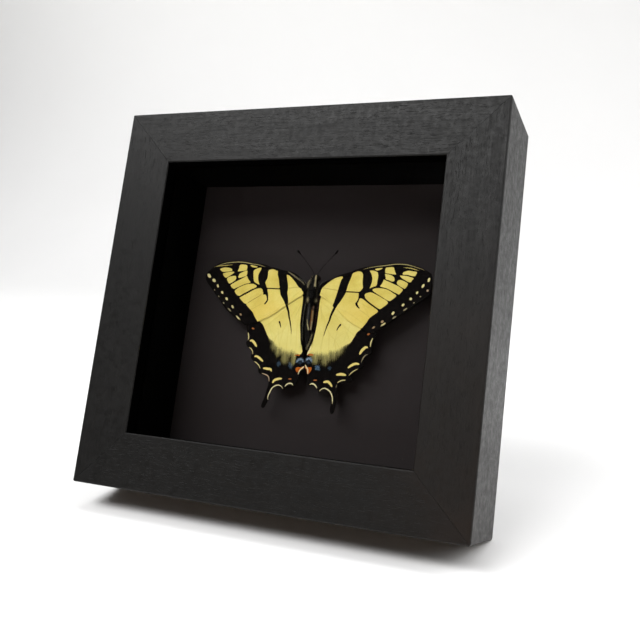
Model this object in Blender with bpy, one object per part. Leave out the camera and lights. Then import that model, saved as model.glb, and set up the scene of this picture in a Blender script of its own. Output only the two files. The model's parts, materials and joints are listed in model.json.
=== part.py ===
"""A swallowtail butterfly in a deep black wooden box frame, standing on the
bottom edge of the frame and on an easel strut hinged to its back.

Run with: blender --background --python part.py
Units are metres, +Z is up, +X runs along the width of the frame and +Y points
away from the viewer. All lengths below are in millimetres and are scaled by MM.
"""
import math

import bmesh
import bpy
from mathutils import Vector, geometry

MM = 0.001

# ---------------------------------------------------------------- dimensions
FRAME_W = 178.0            # outer width of the frame
FRAME_H = 171.5            # outer height along the face
FRAME_D = 40.5             # depth of the moulding
FACE = 24.0                # width of the front face of each rail
LIP = 6.0                  # thickness of the front lip
WALL = 17.0                # thickness of the side wall behind the lip
EDGE_R = 0.8               # rounding along the long edges of the moulding
CORNER_R = 1.3             # rounding of the four outer corners
MITRE_GAP = 0.05           # half the joint line between two rails
LEAN_DEG = 17.94           # the frame leans back by this much

FIT = 0.5                  # side clearance of what sits in the rabbet
GLASS_FRONT, GLASS_BACK = 6.3, 8.3
SPACER_FRONT, SPACER_BACK = 8.6, 35.2
SPACER_T = 6.3
BOARD_FRONT, BOARD_BACK = 35.5, 36.4
PANEL_FRONT, PANEL_BACK = 36.7, 38.9

TAB_L, TAB_W, TAB_T = 17.0, 8.0, 0.5
TAB_FRONT = 39.1
TAB_IN = 4.0               # length driven into the wood

PIN_U = 112.0              # height of the hinge pin on the back panel
PIN_OFF = 3.4              # distance of the pin's axis from the panel
PIN_R, PIN_HOLE_R = 0.80, 0.92
KNUCKLE_R = 1.95
LEAF_T = 0.8
LEAF_GAP = 0.2
EAR_IN, EAR_OUT = 8.0, 8.8
PLATE_TOP, PLATE_BOTTOM = 21.0, 1.9      # fixed plate, measured up and down from the pin
STRUT_DEG = 10.0           # the open strut stands this far from upright
STRUT_IN, STRUT_OUT = -1.2, 1.8          # strut board, measured from the pin
STRUT_TOP = 2.6
STRUT_TOP_W, STRUT_FOOT_W = 30.0, 46.0
STRUT_LEAF_W, STRUT_LEAF_L = 14.0, 24.0
TOE = 8.25                 # stop toe above the pin
RIVET_R, RIVET_HOLE_R, RIVET_HEAD_R, RIVET_HEAD_H = 1.05, 1.3, 2.1, 0.9
RIVET_X = 4.2

WING_V = 28.1              # depth of the dorsal face of the forewings
WING_T = 0.35
HIND_DROP = 0.8            # the hindwings lie this far behind the forewings
BODY_X = 2.0               # the insect's axis, right of the frame's middle
BLOCK_W, BLOCK_H = 6.0, 9.0
BLOCK_FRONT = 33.65

LEAN = math.radians(LEAN_DEG)
STRUT = math.radians(STRUT_DEG)
HALF_W = FRAME_W / 2
MID = FRAME_H / 2

for old in list(bpy.data.objects):
    bpy.data.objects.remove(old, do_unlink=True)


# ------------------------------------------------------------------ helpers
def material(name, colour, roughness, metallic=0.0, alpha=1.0, transmission=0.0):
    found = bpy.data.materials.new(name)
    found.use_nodes = True
    shader = found.node_tree.nodes["Principled BSDF"]
    shader.inputs["Base Color"].default_value = (*colour, 1.0)
    shader.inputs["Roughness"].default_value = roughness
    shader.inputs["Metallic"].default_value = metallic
    shader.inputs["Alpha"].default_value = alpha
    shader.inputs["Transmission Weight"].default_value = transmission
    return found


def empty(name, parent=None, location=(0, 0, 0), turn=0.0):
    made = bpy.data.objects.new(name, None)
    bpy.context.scene.collection.objects.link(made)
    made.parent = parent
    made.location = [c * MM for c in location]
    made.rotation_euler = (turn, 0.0, 0.0)
    return made


def add(name, points, faces, parent, mat=None, smooth=False, cutter=False):
    """A mesh object from points in millimetres."""
    mesh = bpy.data.meshes.new(name)
    mesh.from_pydata([[c * MM for c in p] for p in points], [], faces)
    bm = bmesh.new()
    bm.from_mesh(mesh)
    bmesh.ops.recalc_face_normals(bm, faces=bm.faces)
    bm.to_mesh(mesh)
    bm.free()
    if smooth:
        mesh.shade_smooth()
        mesh.set_sharp_from_angle(angle=math.radians(35))
    made = bpy.data.objects.new(name, mesh)
    bpy.context.scene.collection.objects.link(made)
    made.parent = parent
    if mat:
        mesh.materials.append(mat)
    if cutter:
        made.hide_render = True
        made.display_type = "WIRE"
    return made


def prism(outline, low, high, place):
    """Points and faces of an outline of (a, b) drawn out from low to high."""
    n = len(outline)
    points = [place(a, b, low) for a, b in outline] + [place(a, b, high) for a, b in outline]
    faces = [list(range(n))[::-1], list(range(n, 2 * n))]
    faces += [[i, (i + 1) % n, n + (i + 1) % n, n + i] for i in range(n)]
    return points, faces


def box(name, low, high, parent, mat=None, cutter=False):
    outline = [(low[0], low[1]), (high[0], low[1]), (high[0], high[1]), (low[0], high[1])]
    points, faces = prism(outline, low[2], high[2], lambda a, b, c: (a, b, c))
    return add(name, points, faces, parent, mat, cutter=cutter)


def cut(target, cutter, name, operation="DIFFERENCE"):
    modifier = target.modifiers.new(name, "BOOLEAN")
    modifier.operation = operation
    modifier.solver = "EXACT"
    modifier.object = cutter


def bevel(target, width, segments=2, angle=30):
    modifier = target.modifiers.new("edges", "BEVEL")
    modifier.width = width * MM
    modifier.segments = segments
    modifier.limit_method = "ANGLE"
    modifier.angle_limit = math.radians(angle)


def circle(radius, count, centre=(0.0, 0.0), start=0.0):
    return [
        (
            centre[0] + radius * math.cos(start + 2 * math.pi * i / count),
            centre[1] + radius * math.sin(start + 2 * math.pi * i / count),
        )
        for i in range(count)
    ]


# --------------------------------------------------------------- materials
BLACK_WOOD = material("black_stained_wood", (0.012, 0.011, 0.010), 0.42)
GLASS = material("clear_glass", (0.95, 0.97, 0.96), 0.02, alpha=0.35, transmission=1.0)
BLACK_CARD = material("black_spacer_board", (0.004, 0.004, 0.004), 0.85)
GREY_PAPER = material("charcoal_mount_paper", (0.030, 0.026, 0.027), 0.9)
BLACK_FIBRE = material("black_fibreboard", (0.015, 0.014, 0.013), 0.7)
STEEL = material("plated_steel", (0.55, 0.55, 0.54), 0.35, metallic=1.0)
WING = material("yellow_wing_scales", (0.72, 0.60, 0.16), 0.7)
BODY = material("black_body_hair", (0.015, 0.013, 0.011), 0.8)
FEELER = material("dark_antenna", (0.012, 0.008, 0.006), 0.55)
FOAM = material("black_foam_pad", (0.008, 0.008, 0.008), 0.95)


# ---------------------------------------------------------------- the stand
stand = empty("stand")
frame_axes = empty("frame_axes", stand, turn=-LEAN)
# In frame_axes: x along the width, y the depth behind the front face,
# z up along the face from its bottom edge.


def rail_profile():
    """The moulding's section as (inward, depth), with rounded corners."""
    corners = [
        (0.0, 0.0, EDGE_R), (FACE, 0.0, EDGE_R * 0.75), (FACE, LIP, 0.3),
        (WALL, LIP, 0.0), (WALL, FRAME_D, 0.4), (0.0, FRAME_D, EDGE_R),
    ]
    points = []
    for i, (w, v, r) in enumerate(corners):
        if r == 0.0:
            points.append((w, v))
            continue
        back = Vector(corners[i - 1][:2]) - Vector((w, v))
        ahead = Vector(corners[(i + 1) % len(corners)][:2]) - Vector((w, v))
        back.normalize()
        ahead.normalize()
        centre = Vector((w, v)) + r * (back + ahead)
        for k in range(5):
            angle = math.radians(90) * k / 4
            point = centre - r * (ahead * math.cos(angle) + back * math.sin(angle))
            points.append((point.x, point.y))
    return points


PROFILE = rail_profile()


def rail(name, length, place):
    """A mitred rail: place takes (along, inward, depth) to frame axes."""
    n = len(PROFILE)
    points = [place(w + MITRE_GAP, w, v) for w, v in PROFILE]
    points += [place(length - w - MITRE_GAP, w, v) for w, v in PROFILE]
    faces = [list(range(n)), list(range(n, 2 * n))[::-1]]
    faces += [[i, (i + 1) % n, n + (i + 1) % n, n + i] for i in range(n)]
    return add(name, points, faces, frame_axes, BLACK_WOOD, smooth=True)


rails = {
    "rail_bottom": rail("rail_bottom", FRAME_W, lambda a, w, v: (-HALF_W + a, v, w)),
    "rail_top": rail("rail_top", FRAME_W, lambda a, w, v: (HALF_W - a, v, FRAME_H - w)),
    "rail_left": rail("rail_left", FRAME_H, lambda a, w, v: (-HALF_W + w, v, FRAME_H - a)),
    "rail_right": rail("rail_right", FRAME_H, lambda a, w, v: (HALF_W - w, v, a)),
}

# The four outer corners are sanded round across both rails of each mitre.
for sx, top in ((-1, False), (1, False), (1, True), (-1, True)):
    arc = []
    for k in range(7):
        angle = math.radians(90) * k / 6
        arc.append((CORNER_R * (1 - math.sin(angle)), CORNER_R * (1 - math.cos(angle))))
    outline = [(-2.0, -2.0), (CORNER_R, -2.0)] + arc + [(-2.0, CORNER_R)]
    side = "right" if sx > 0 else "left"
    name = f"cut_corner_{'top' if top else 'bottom'}_{side}"
    points, faces = prism(
        outline, -3.0, FRAME_D + 3.0,
        lambda a, b, c, sx=sx, top=top: (
            sx * (HALF_W - a), c, (FRAME_H - b) if top else b
        ),
    )
    cutter = add(name, points, faces, frame_axes, cutter=True)
    cut(rails["rail_top" if top else "rail_bottom"], cutter, f"corner_{side}")
    cut(rails[f"rail_{side}"], cutter, f"corner_{'top' if top else 'bottom'}")

# ------------------------------------------------ what sits in the rabbet
inner = WALL + FIT
pane = box(
    "glass_pane", (-HALF_W + inner, GLASS_FRONT, inner),
    (HALF_W - inner, GLASS_BACK, FRAME_H - inner), frame_axes, GLASS,
)
bevel(pane, 0.15, 1)

s0, s1 = WALL + 0.4, WALL + 0.4 + SPACER_T
box("spacer_bottom", (-HALF_W + s0, SPACER_FRONT, s0), (HALF_W - s0, SPACER_BACK, s1), frame_axes, BLACK_CARD)
box("spacer_top", (-HALF_W + s0, SPACER_FRONT, FRAME_H - s1), (HALF_W - s0, SPACER_BACK, FRAME_H - s0), frame_axes, BLACK_CARD)
box("spacer_left", (-HALF_W + s0, SPACER_FRONT, s1 + 0.25), (-HALF_W + s1, SPACER_BACK, FRAME_H - s1 - 0.25), frame_axes, BLACK_CARD)
box("spacer_right", (HALF_W - s1, SPACER_FRONT, s1 + 0.25), (HALF_W - s0, SPACER_BACK, FRAME_H - s1 - 0.25), frame_axes, BLACK_CARD)

box("mount_board", (-HALF_W + inner, BOARD_FRONT, inner), (HALF_W - inner, BOARD_BACK, FRAME_H - inner), frame_axes, GREY_PAPER)
panel = box("back_panel", (-HALF_W + inner, PANEL_FRONT, inner), (HALF_W - inner, PANEL_BACK, FRAME_H - inner), frame_axes, BLACK_FIBRE)

# ------------------------------------------- points that hold the back panel
def tab(name, rail_name, place):
    half = TAB_W / 2
    tip = WALL - TAB_IN
    outline = [
        (tip, -1.2), (tip + 3.2, -half), (tip + TAB_L - 3.0, -half), (tip + TAB_L, -half + 3.0),
        (tip + TAB_L, half - 3.0), (tip + TAB_L - 3.0, half), (tip + 3.2, half), (tip, 1.2),
    ]
    points, faces = prism(outline, TAB_FRONT, TAB_FRONT + TAB_T, place)
    made = add(name, points, faces, frame_axes, STEEL)
    slot = [(tip - 0.5, -half - 0.4), (WALL + 3.0, -half - 0.4), (WALL + 3.0, half + 0.4), (tip - 0.5, half + 0.4)]
    points, faces = prism(slot, TAB_FRONT - 0.2, TAB_FRONT + TAB_T + 0.2, place)
    cutter = add(f"cut_slot_{name}", points, faces, frame_axes, cutter=True)
    cut(rails[rail_name], cutter, "tab_slot")
    return made


tab("tab_bottom", "rail_bottom", lambda w, a, v: (a, v, w))
tab("tab_top", "rail_top", lambda w, a, v: (-a, v, FRAME_H - w))
tab("tab_left", "rail_left", lambda w, a, v: (-HALF_W + w, v, MID - a))
tab("tab_right", "rail_right", lambda w, a, v: (HALF_W - w, v, MID + a))

# ------------------------------------------------------------ easel hinge
pin_v = PANEL_BACK + PIN_OFF
hinge_axes = empty("hinge_axes", frame_axes, (0, pin_v, PIN_U))
# In hinge_axes the pin lies on x, y points away from the panel, z up the panel.
panel_y = -PIN_OFF

plate = box(
    "hinge_plate", (-EAR_OUT, panel_y + LEAF_GAP, -PLATE_BOTTOM),
    (EAR_OUT, panel_y + LEAF_GAP + LEAF_T, PLATE_TOP), hinge_axes, STEEL,
)
for side, x0, x1 in (("left", -EAR_OUT, -EAR_IN), ("right", EAR_IN, EAR_OUT)):
    outline = [(panel_y + LEAF_GAP + 0.2, -1.9), (0.2, -1.9)]
    outline += [(1.9 * math.sin(a) + 0.2 * 0, -1.9 * math.cos(a)) for a in [math.radians(20 * k) for k in range(1, 9)]]
    outline += [(0.2, 1.9), (-0.6, 3.6), (panel_y + LEAF_GAP + 0.2, 6.0)]
    points, faces = prism(outline, x0, x1, lambda a, b, c: (c, a, b))
    ear = add(f"make_ear_{side}", points, faces, hinge_axes, cutter=True)
    cut(plate, ear, f"ear_{side}", "UNION")
points, faces = prism(circle(PIN_HOLE_R, 20), -12.0, 12.0, lambda a, b, c: (c, a, b))
cut(plate, add("cut_pin_hole", points, faces, hinge_axes, cutter=True), "pin_hole")

# The pin, with a head on both ends to keep it in the ears.
stations = [
    (-EAR_OUT - 1.0, 1.0), (-EAR_OUT - 0.8, 1.4), (-EAR_OUT - 0.25, 1.4), (-EAR_OUT - 0.25, PIN_R),
    (EAR_OUT + 0.25, PIN_R), (EAR_OUT + 0.25, 1.4), (EAR_OUT + 0.8, 1.4), (EAR_OUT + 1.0, 1.0),
]


def turned(stations, count, place):
    """A closed turned body from (along, radius) stations."""
    points, faces = [], []
    for along, radius in stations:
        points += [place(along, a, b) for a, b in circle(radius, count)]
    for s in range(len(stations) - 1):
        for i in range(count):
            j = (i + 1) % count
            faces.append([s * count + i, s * count + j, (s + 1) * count + j, (s + 1) * count + i])
    faces.append(list(range(count))[::-1])
    last = (len(stations) - 1) * count
    faces.append(list(range(last, last + count)))
    return points, faces


points, faces = turned(stations, 20, lambda along, a, b: (along, a, b))
add("hinge_pin", points, faces, hinge_axes, STEEL, smooth=True)


def rivet(name, x, z, base, through, parent, tail=False):
    """A domed rivet whose head sits at depth base and whose shank runs back."""
    stations = [
        (base + LEAF_GAP + RIVET_HEAD_H, 0.35), (base + LEAF_GAP + RIVET_HEAD_H * 0.88, 1.1),
        (base + LEAF_GAP + RIVET_HEAD_H * 0.55, 1.75), (base + LEAF_GAP, RIVET_HEAD_R),
        (base + LEAF_GAP, RIVET_R), (through, RIVET_R),
    ]
    if tail:
        stations += [(through, 1.7), (through - 0.35, 1.6), (through - 0.5, 1.0)]
    points, faces = turned(stations, 16, lambda along, a, b: (x + a, along, z + b))
    return add(name, points, faces, parent, STEEL, smooth=True)


# Rivets of the fixed plate, set into the panel.
plate_top_y = panel_y + LEAF_GAP + LEAF_T
for side, x in (("left", -RIVET_X), ("right", RIVET_X)):
    z = 14.0
    rivet(f"panel_rivet_{side}", x, z, plate_top_y, panel_y - 1.9, hinge_axes)
    points, faces = prism(circle(RIVET_HOLE_R, 16, (x, z)), panel_y - 5.0, plate_top_y + 2.0, lambda a, b, c: (a, c, b))
    hole = add(f"cut_panel_rivet_{side}", points, faces, hinge_axes, cutter=True)
    cut(plate, hole, f"rivet_{side}")
    cut(panel, hole, f"rivet_{side}")

# ------------------------------------------------------------ easel strut
strut_axes = empty("strut_axes", frame_axes, (0, pin_v, PIN_U), turn=LEAN + STRUT)
# In strut_axes the pin lies on x, y is the strut's outer side, -z runs down it.


def strut_foot(y, pin_height):
    """Distance down the strut from the pin to the floor, at y."""
    return (pin_height + y * math.sin(STRUT)) / math.cos(STRUT)


# Height of the rounded rear-bottom edge's lowest point, in stand axes.
lowest = min(w * math.cos(LEAN) - v * math.sin(LEAN) for w, v in PROFILE)
pin_height = PIN_U * math.cos(LEAN) - pin_v * math.sin(LEAN) - lowest

outline = [(-STRUT_TOP_W / 2, -STRUT_TOP), (STRUT_TOP_W / 2, -STRUT_TOP)]
points = []
for y in (STRUT_IN, STRUT_OUT):
    foot = strut_foot(y, pin_height)
    points += [
        (-STRUT_TOP_W / 2 + 3.0, y, -STRUT_TOP), (STRUT_TOP_W / 2 - 3.0, y, -STRUT_TOP),
        (STRUT_TOP_W / 2, y, -STRUT_TOP - 3.0),
        (STRUT_FOOT_W / 2, y, -foot + 14.0), (STRUT_FOOT_W / 2, y, -foot),
        (-STRUT_FOOT_W / 2, y, -foot), (-STRUT_FOOT_W / 2, y, -foot + 14.0),
        (-STRUT_TOP_W / 2, y, -STRUT_TOP - 3.0),
    ]
faces = [list(range(8)), list(range(8, 16))[::-1]] + [[i, (i + 1) % 8, 8 + (i + 1) % 8, 8 + i] for i in range(8)]
strut = add("strut_board", points, faces, strut_axes, BLACK_FIBRE)
bevel(strut, 0.35, 2)

leaf_in = STRUT_OUT + LEAF_GAP - 0.05
leaf = box(
    "strut_leaf", (-STRUT_LEAF_W / 2, leaf_in, -STRUT_LEAF_L),
    (STRUT_LEAF_W / 2, leaf_in + LEAF_T, TOE), strut_axes, STEEL,
)
# The rolled knuckle runs into the leaf over a short neck.
points, faces = prism(circle(KNUCKLE_R, 20, start=math.radians(9)), -STRUT_LEAF_W / 2 + 0.05, STRUT_LEAF_W / 2 - 0.05, lambda a, b, c: (c, a, b))
cut(leaf, add("make_knuckle", points, faces, strut_axes, cutter=True), "knuckle", "UNION")
points, faces = prism([(0.9, -1.2), (leaf_in + 0.35, -1.2), (leaf_in + 0.35, 1.2), (0.9, 1.2)], -STRUT_LEAF_W / 2 + 0.1, STRUT_LEAF_W / 2 - 0.1, lambda a, b, c: (c, a, b))
cut(leaf, add("make_neck", points, faces, strut_axes, cutter=True), "neck", "UNION")
points, faces = prism(circle(PIN_HOLE_R, 20), -12.0, 12.0, lambda a, b, c: (c, a, b))
cut(leaf, add("cut_knuckle_hole", points, faces, strut_axes, cutter=True), "pin_hole")

for side, x in (("left", -RIVET_X), ("right", RIVET_X)):
    z = -16.0
    rivet(f"strut_rivet_{side}", x, z, leaf_in + LEAF_T, STRUT_IN - 0.2, strut_axes, tail=True)
    points, faces = prism(circle(RIVET_HOLE_R, 16, (x, z)), STRUT_IN - 2.0, leaf_in + LEAF_T + 2.0, lambda a, b, c: (a, c, b))
    hole = add(f"cut_strut_rivet_{side}", points, faces, strut_axes, cutter=True)
    cut(strut, hole, f"rivet_{side}")
    cut(leaf, hole, f"rivet_{side}")

# ------------------------------------------------------------- the insect
insect_axes = empty("insect_axes", frame_axes, (0, 0, MID))
# In insect_axes z is measured from the middle of the face.

# Wing outlines as (x, z) knots, from the root along the front edge, down the
# outer margin and back to the body.
FOREWING_RIGHT = [
    (5.7, 12.9), (6.7, 14.3), (8.4, 15.2), (10.0, 15.8), (12.1, 17.0), (14.2, 18.1), (16.7, 19.0),
    (19.6, 19.9), (22.1, 21.0), (24.6, 21.75), (27.1, 22.25), (30.0, 22.8), (32.9, 23.25),
    (35.8, 23.75), (38.75, 24.05), (41.7, 24.1), (44.6, 24.0), (47.5, 23.55), (50.0, 22.9),
    (52.1, 22.0), (54.2, 21.05), (55.6, 20.1), (56.4, 19.0), (56.75, 17.1), (56.8, 14.6),
    (56.7, 12.3), (56.2, 10.8), (54.8, 9.5), (52.9, 8.3), (51.4, 6.9), (49.8, 5.7), (48.1, 4.3),
    (46.6, 3.0), (44.9, 1.8), (43.1, 0.2), (41.2, -1.2), (39.4, -2.7), (37.5, -4.1),
    (35.8, -5.2), (34.2, -6.1), (32.6, -6.7), (30.0, -6.6), (27.0, -5.4), (23.5, -3.7),
    (20.0, -1.9), (16.6, 0.9), (13.3, 3.5), (9.6, 6.4), (5.7, 8.8), (5.45, 10.8),
]
FOREWING_LEFT = [
    (-1.35, 12.7), (-1.9, 13.8), (-2.9, 15.0), (-4.9, 16.7), (-7.4, 18.1), (-9.9, 19.0), (-12.8, 19.35),
    (-15.3, 19.8), (-17.8, 20.4), (-19.9, 20.7), (-22.4, 21.5), (-25.3, 22.0), (-28.25, 22.4),
    (-31.2, 22.7), (-34.1, 23.0), (-37.0, 23.15), (-39.9, 23.05), (-42.8, 22.8), (-45.3, 22.3),
    (-47.4, 21.6), (-49.5, 20.6), (-51.4, 19.5), (-52.8, 18.3), (-53.9, 17.1), (-54.4, 15.6),
    (-54.2, 13.7), (-53.4, 12.1), (-52.2, 10.9), (-50.4, 9.9), (-48.8, 8.4), (-47.5, 6.9),
    (-46.0, 5.6), (-44.3, 4.0), (-42.6, 2.2), (-41.1, 0.6), (-39.5, -0.75), (-37.4, -2.1),
    (-35.5, -3.5), (-33.7, -4.7), (-31.8, -5.6), (-30.1, -6.4), (-28.9, -6.9), (-26.4, -6.3),
    (-23.7, -5.2), (-19.9, -3.5), (-16.2, -1.4), (-12.0, 1.7), (-9.5, 3.5), (-5.4, 6.4),
    (-1.5, 8.9), (-1.4, 10.8),
]
HINDWING_RIGHT = [
    (5.7, 8.2), (8.0, 9.6), (14.0, 9.2), (22.0, 6.2), (29.0, 1.5), (33.6, -3.6),
    (34.8, -6.0), (34.6, -7.5), (33.8, -8.6), (33.2, -9.8), (32.9, -11.2), (32.8, -12.5),
    (33.3, -13.7), (33.7, -14.9), (33.2, -16.0), (32.3, -16.5), (31.2, -17.3), (30.3, -18.4),
    (29.9, -19.6), (30.3, -20.6), (30.5, -21.5), (29.8, -22.3), (28.7, -22.8), (27.3, -23.3),
    (25.9, -24.4), (25.0, -25.5), (24.7, -26.5), (25.4, -27.3), (25.8, -28.1), (25.0, -28.7),
    (23.4, -28.8), (21.7, -29.0), (20.4, -29.6), (19.6, -30.5), (19.3, -31.8), (19.6, -33.6),
    (19.8, -35.7), (19.8, -37.7), (19.7, -39.4), (19.5, -41.1), (19.1, -42.3), (18.3, -43.0),
    (17.6, -42.5), (17.2, -41.3), (17.2, -40.0), (17.4, -38.9), (17.2, -36.9), (16.6, -35.1),
    (15.5, -33.8), (14.2, -33.1), (12.9, -33.1), (12.0, -33.7), (11.3, -34.3), (10.6, -34.1),
    (10.1, -33.2), (9.4, -32.3), (8.3, -31.8), (7.1, -31.7), (6.2, -31.8), (5.4, -31.4),
    (4.7, -30.2), (4.2, -28.8), (3.8, -27.2), (3.2, -25.6), (2.95, -24.0), (2.95, -21.8),
    (3.0, -19.5), (3.3, -17.6), (4.0, -15.6), (4.7, -13.0), (5.2, -9.5), (5.35, -5.0),
    (5.4, 0.0), (5.5, 4.0),
]
HINDWING_LEFT = [
    (-1.5, 8.2), (-3.2, 9.6), (-8.8, 9.0), (-16.8, 6.0), (-23.6, 1.2), (-28.2, -3.6),
    (-29.1, -5.7), (-28.7, -7.1), (-28.2, -8.6), (-27.9, -9.9), (-27.5, -11.5), (-27.1, -13.3),
    (-27.6, -14.3), (-27.8, -15.2), (-27.2, -16.4), (-26.3, -17.0), (-24.9, -18.1), (-24.1, -19.5),
    (-24.4, -20.9), (-24.0, -22.1), (-22.7, -23.1), (-21.0, -24.3), (-19.8, -25.7), (-19.6, -26.9),
    (-19.2, -28.1), (-17.8, -28.7), (-16.0, -29.1), (-14.5, -30.1), (-13.75, -31.5), (-13.7, -33.2),
    (-14.1, -35.2), (-14.5, -37.3), (-15.0, -39.4), (-15.7, -41.5), (-15.8, -43.0), (-15.1, -43.6),
    (-14.2, -43.2), (-13.5, -41.7), (-12.9, -40.3), (-12.5, -39.3), (-12.3, -37.3), (-11.7, -35.7),
    (-10.5, -34.2), (-8.9, -33.5), (-7.7, -33.8), (-6.8, -34.6), (-6.0, -34.5), (-5.3, -33.6),
    (-4.3, -32.8), (-2.9, -32.4), (-1.6, -32.7), (-0.5, -32.3), (0.3, -30.8), (0.9, -28.9),
    (1.7, -26.8), (2.4, -24.8), (2.5, -22.8), (2.3, -20.6), (1.6, -18.6), (0.6, -16.2),
    (-0.1, -13.0), (-0.5, -9.5), (-0.8, -5.0), (-0.85, 0.0), (-1.1, 4.0),
]


def smoothed(knots, steps):
    """A closed Catmull-Rom curve through the knots."""
    n = len(knots)
    curve = []
    for i in range(n):
        p0, p1, p2, p3 = (Vector(knots[(i + k - 1) % n]) for k in range(4))
        for k in range(steps):
            t = k / steps
            curve.append(
                0.5 * (2 * p1 + (p2 - p0) * t + (2 * p0 - 5 * p1 + 4 * p2 - p3) * t * t
                       + (3 * p1 - p0 - 3 * p2 + p3) * t ** 3)
            )
    return curve


def inside(point, loop):
    hit = False
    for i, a in enumerate(loop):
        b = loop[i - 1]
        if (a.y > point.y) != (b.y > point.y) and point.x < (b.x - a.x) * (point.y - a.y) / (b.y - a.y) + a.x:
            hit = not hit
    return hit


def spread(x, z):
    """Depth of a wing's membrane behind its plane: near flat, with a slow roll
    towards the tips, as a wing dries on a spreading board."""
    across = abs(x - BODY_X)
    return 0.25 * math.sin(across * 0.11) - 0.18 * math.sin(across * 0.21 + z * 0.09) + 0.0035 * max(0.0, across - 20.0)


def wing(name, knots, drop, pitch=4.6, clear=1.9):
    loop = smoothed(knots, 1)
    low = Vector((min(p.x for p in loop), min(p.y for p in loop)))
    high = Vector((max(p.x for p in loop), max(p.y for p in loop)))
    grid = []
    rows = int((high.y - low.y) / (pitch * 0.87)) + 1
    for r in range(rows):
        z = low.y + (r + 0.5) * pitch * 0.87
        for c in range(int((high.x - low.x) / pitch) + 2):
            point = Vector((low.x + (c + 0.5 * (r % 2)) * pitch, z))
            if inside(point, loop) and min(
                (geometry.intersect_point_line(point, loop[i], loop[i - 1])[0] - point).length
                if 0 <= geometry.intersect_point_line(point, loop[i], loop[i - 1])[1] <= 1
                else min((loop[i] - point).length, (loop[i - 1] - point).length)
                for i in range(len(loop))
            ) > clear:
                grid.append(point)
    n = len(loop)
    flat, _, tris, _, _, _ = geometry.delaunay_2d_cdt(loop + grid, [], [list(range(n))], 1, 1e-6)
    count = len(flat)
    points = [(p.x, WING_V + drop + spread(p.x, p.y), p.y) for p in flat]
    points += [(x, v + WING_T, z) for x, v, z in points]
    faces = [list(t) for t in tris] + [[i + count for i in reversed(t)] for t in tris]
    edges = {}
    for t in tris:
        for i in range(len(t)):
            a, b = t[i], t[(i + 1) % len(t)]
            edges[(a, b)] = 1
    for a, b in edges:
        if (b, a) not in edges:
            faces.append([b, a, a + count, b + count])
    return add(name, points, faces, insect_axes, WING)


wing("forewing_left", FOREWING_LEFT, 0.0)
wing("forewing_right", FOREWING_RIGHT, 0.0)
wing("hindwing_left", HINDWING_LEFT, HIND_DROP)
wing("hindwing_right", HINDWING_RIGHT, HIND_DROP)

# Head, thorax and abdomen: half width, half depth, the depth of the middle and
# its offset sideways, at heights from the front of the head to the abdomen's tip.
BODY_SECTIONS = [
    (18.5, 0.5, 0.5, 29.4, 0.45), (17.9, 1.3, 1.2, 29.5, 0.45), (16.8, 1.9, 1.6, 29.5, 0.42),
    (15.6, 2.0, 1.75, 29.6, 0.4), (14.5, 1.6, 1.6, 29.7, 0.3), (13.4, 2.1, 2.2, 29.8, 0.2),
    (11.7, 2.8, 3.0, 29.9, 0.1), (9.2, 3.1, 3.4, 29.95, 0.05), (6.7, 3.0, 3.3, 29.95, 0.0),
    (4.5, 2.6, 2.8, 30.0, 0.0), (3.2, 2.25, 2.4, 30.05, 0.0), (1.7, 2.25, 2.5, 30.1, 0.0),
    (-0.8, 2.35, 2.6, 30.1, -0.02), (-3.8, 2.35, 2.6, 30.1, -0.05), (-6.8, 2.15, 2.4, 30.1, -0.1),
    (-9.8, 1.8, 2.1, 30.1, -0.18), (-12.8, 1.35, 1.6, 30.1, -0.28), (-15.1, 0.85, 1.0, 30.1, -0.36),
    (-16.3, 0.35, 0.45, 30.1, -0.4),
]
points, faces = [], []
SIDES = 16
for z, hw, hd, v, offset in BODY_SECTIONS:
    for a, b in circle(1.0, SIDES):
        points.append((BODY_X + offset + hw * a, v + hd * b, z))
for s in range(len(BODY_SECTIONS) - 1):
    for i in range(SIDES):
        j = (i + 1) % SIDES
        faces.append([s * SIDES + i, s * SIDES + j, (s + 1) * SIDES + j, (s + 1) * SIDES + i])
faces.append(list(range(SIDES)))
faces.append(list(range(len(points) - SIDES, len(points))))
add("insect_body", points, faces, insect_axes, BODY, smooth=True)

ANTENNA_RIGHT = [(3.3, 18.85), (5.1, 21.1), (7.2, 23.5), (9.2, 25.6), (10.9, 27.4), (11.6, 28.3), (12.3, 29.6)]
ANTENNA_LEFT = [(1.6, 18.85), (0.0, 20.9), (-1.9, 23.0), (-4.0, 25.2), (-5.6, 26.8), (-6.6, 27.8), (-7.9, 29.1)]


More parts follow.
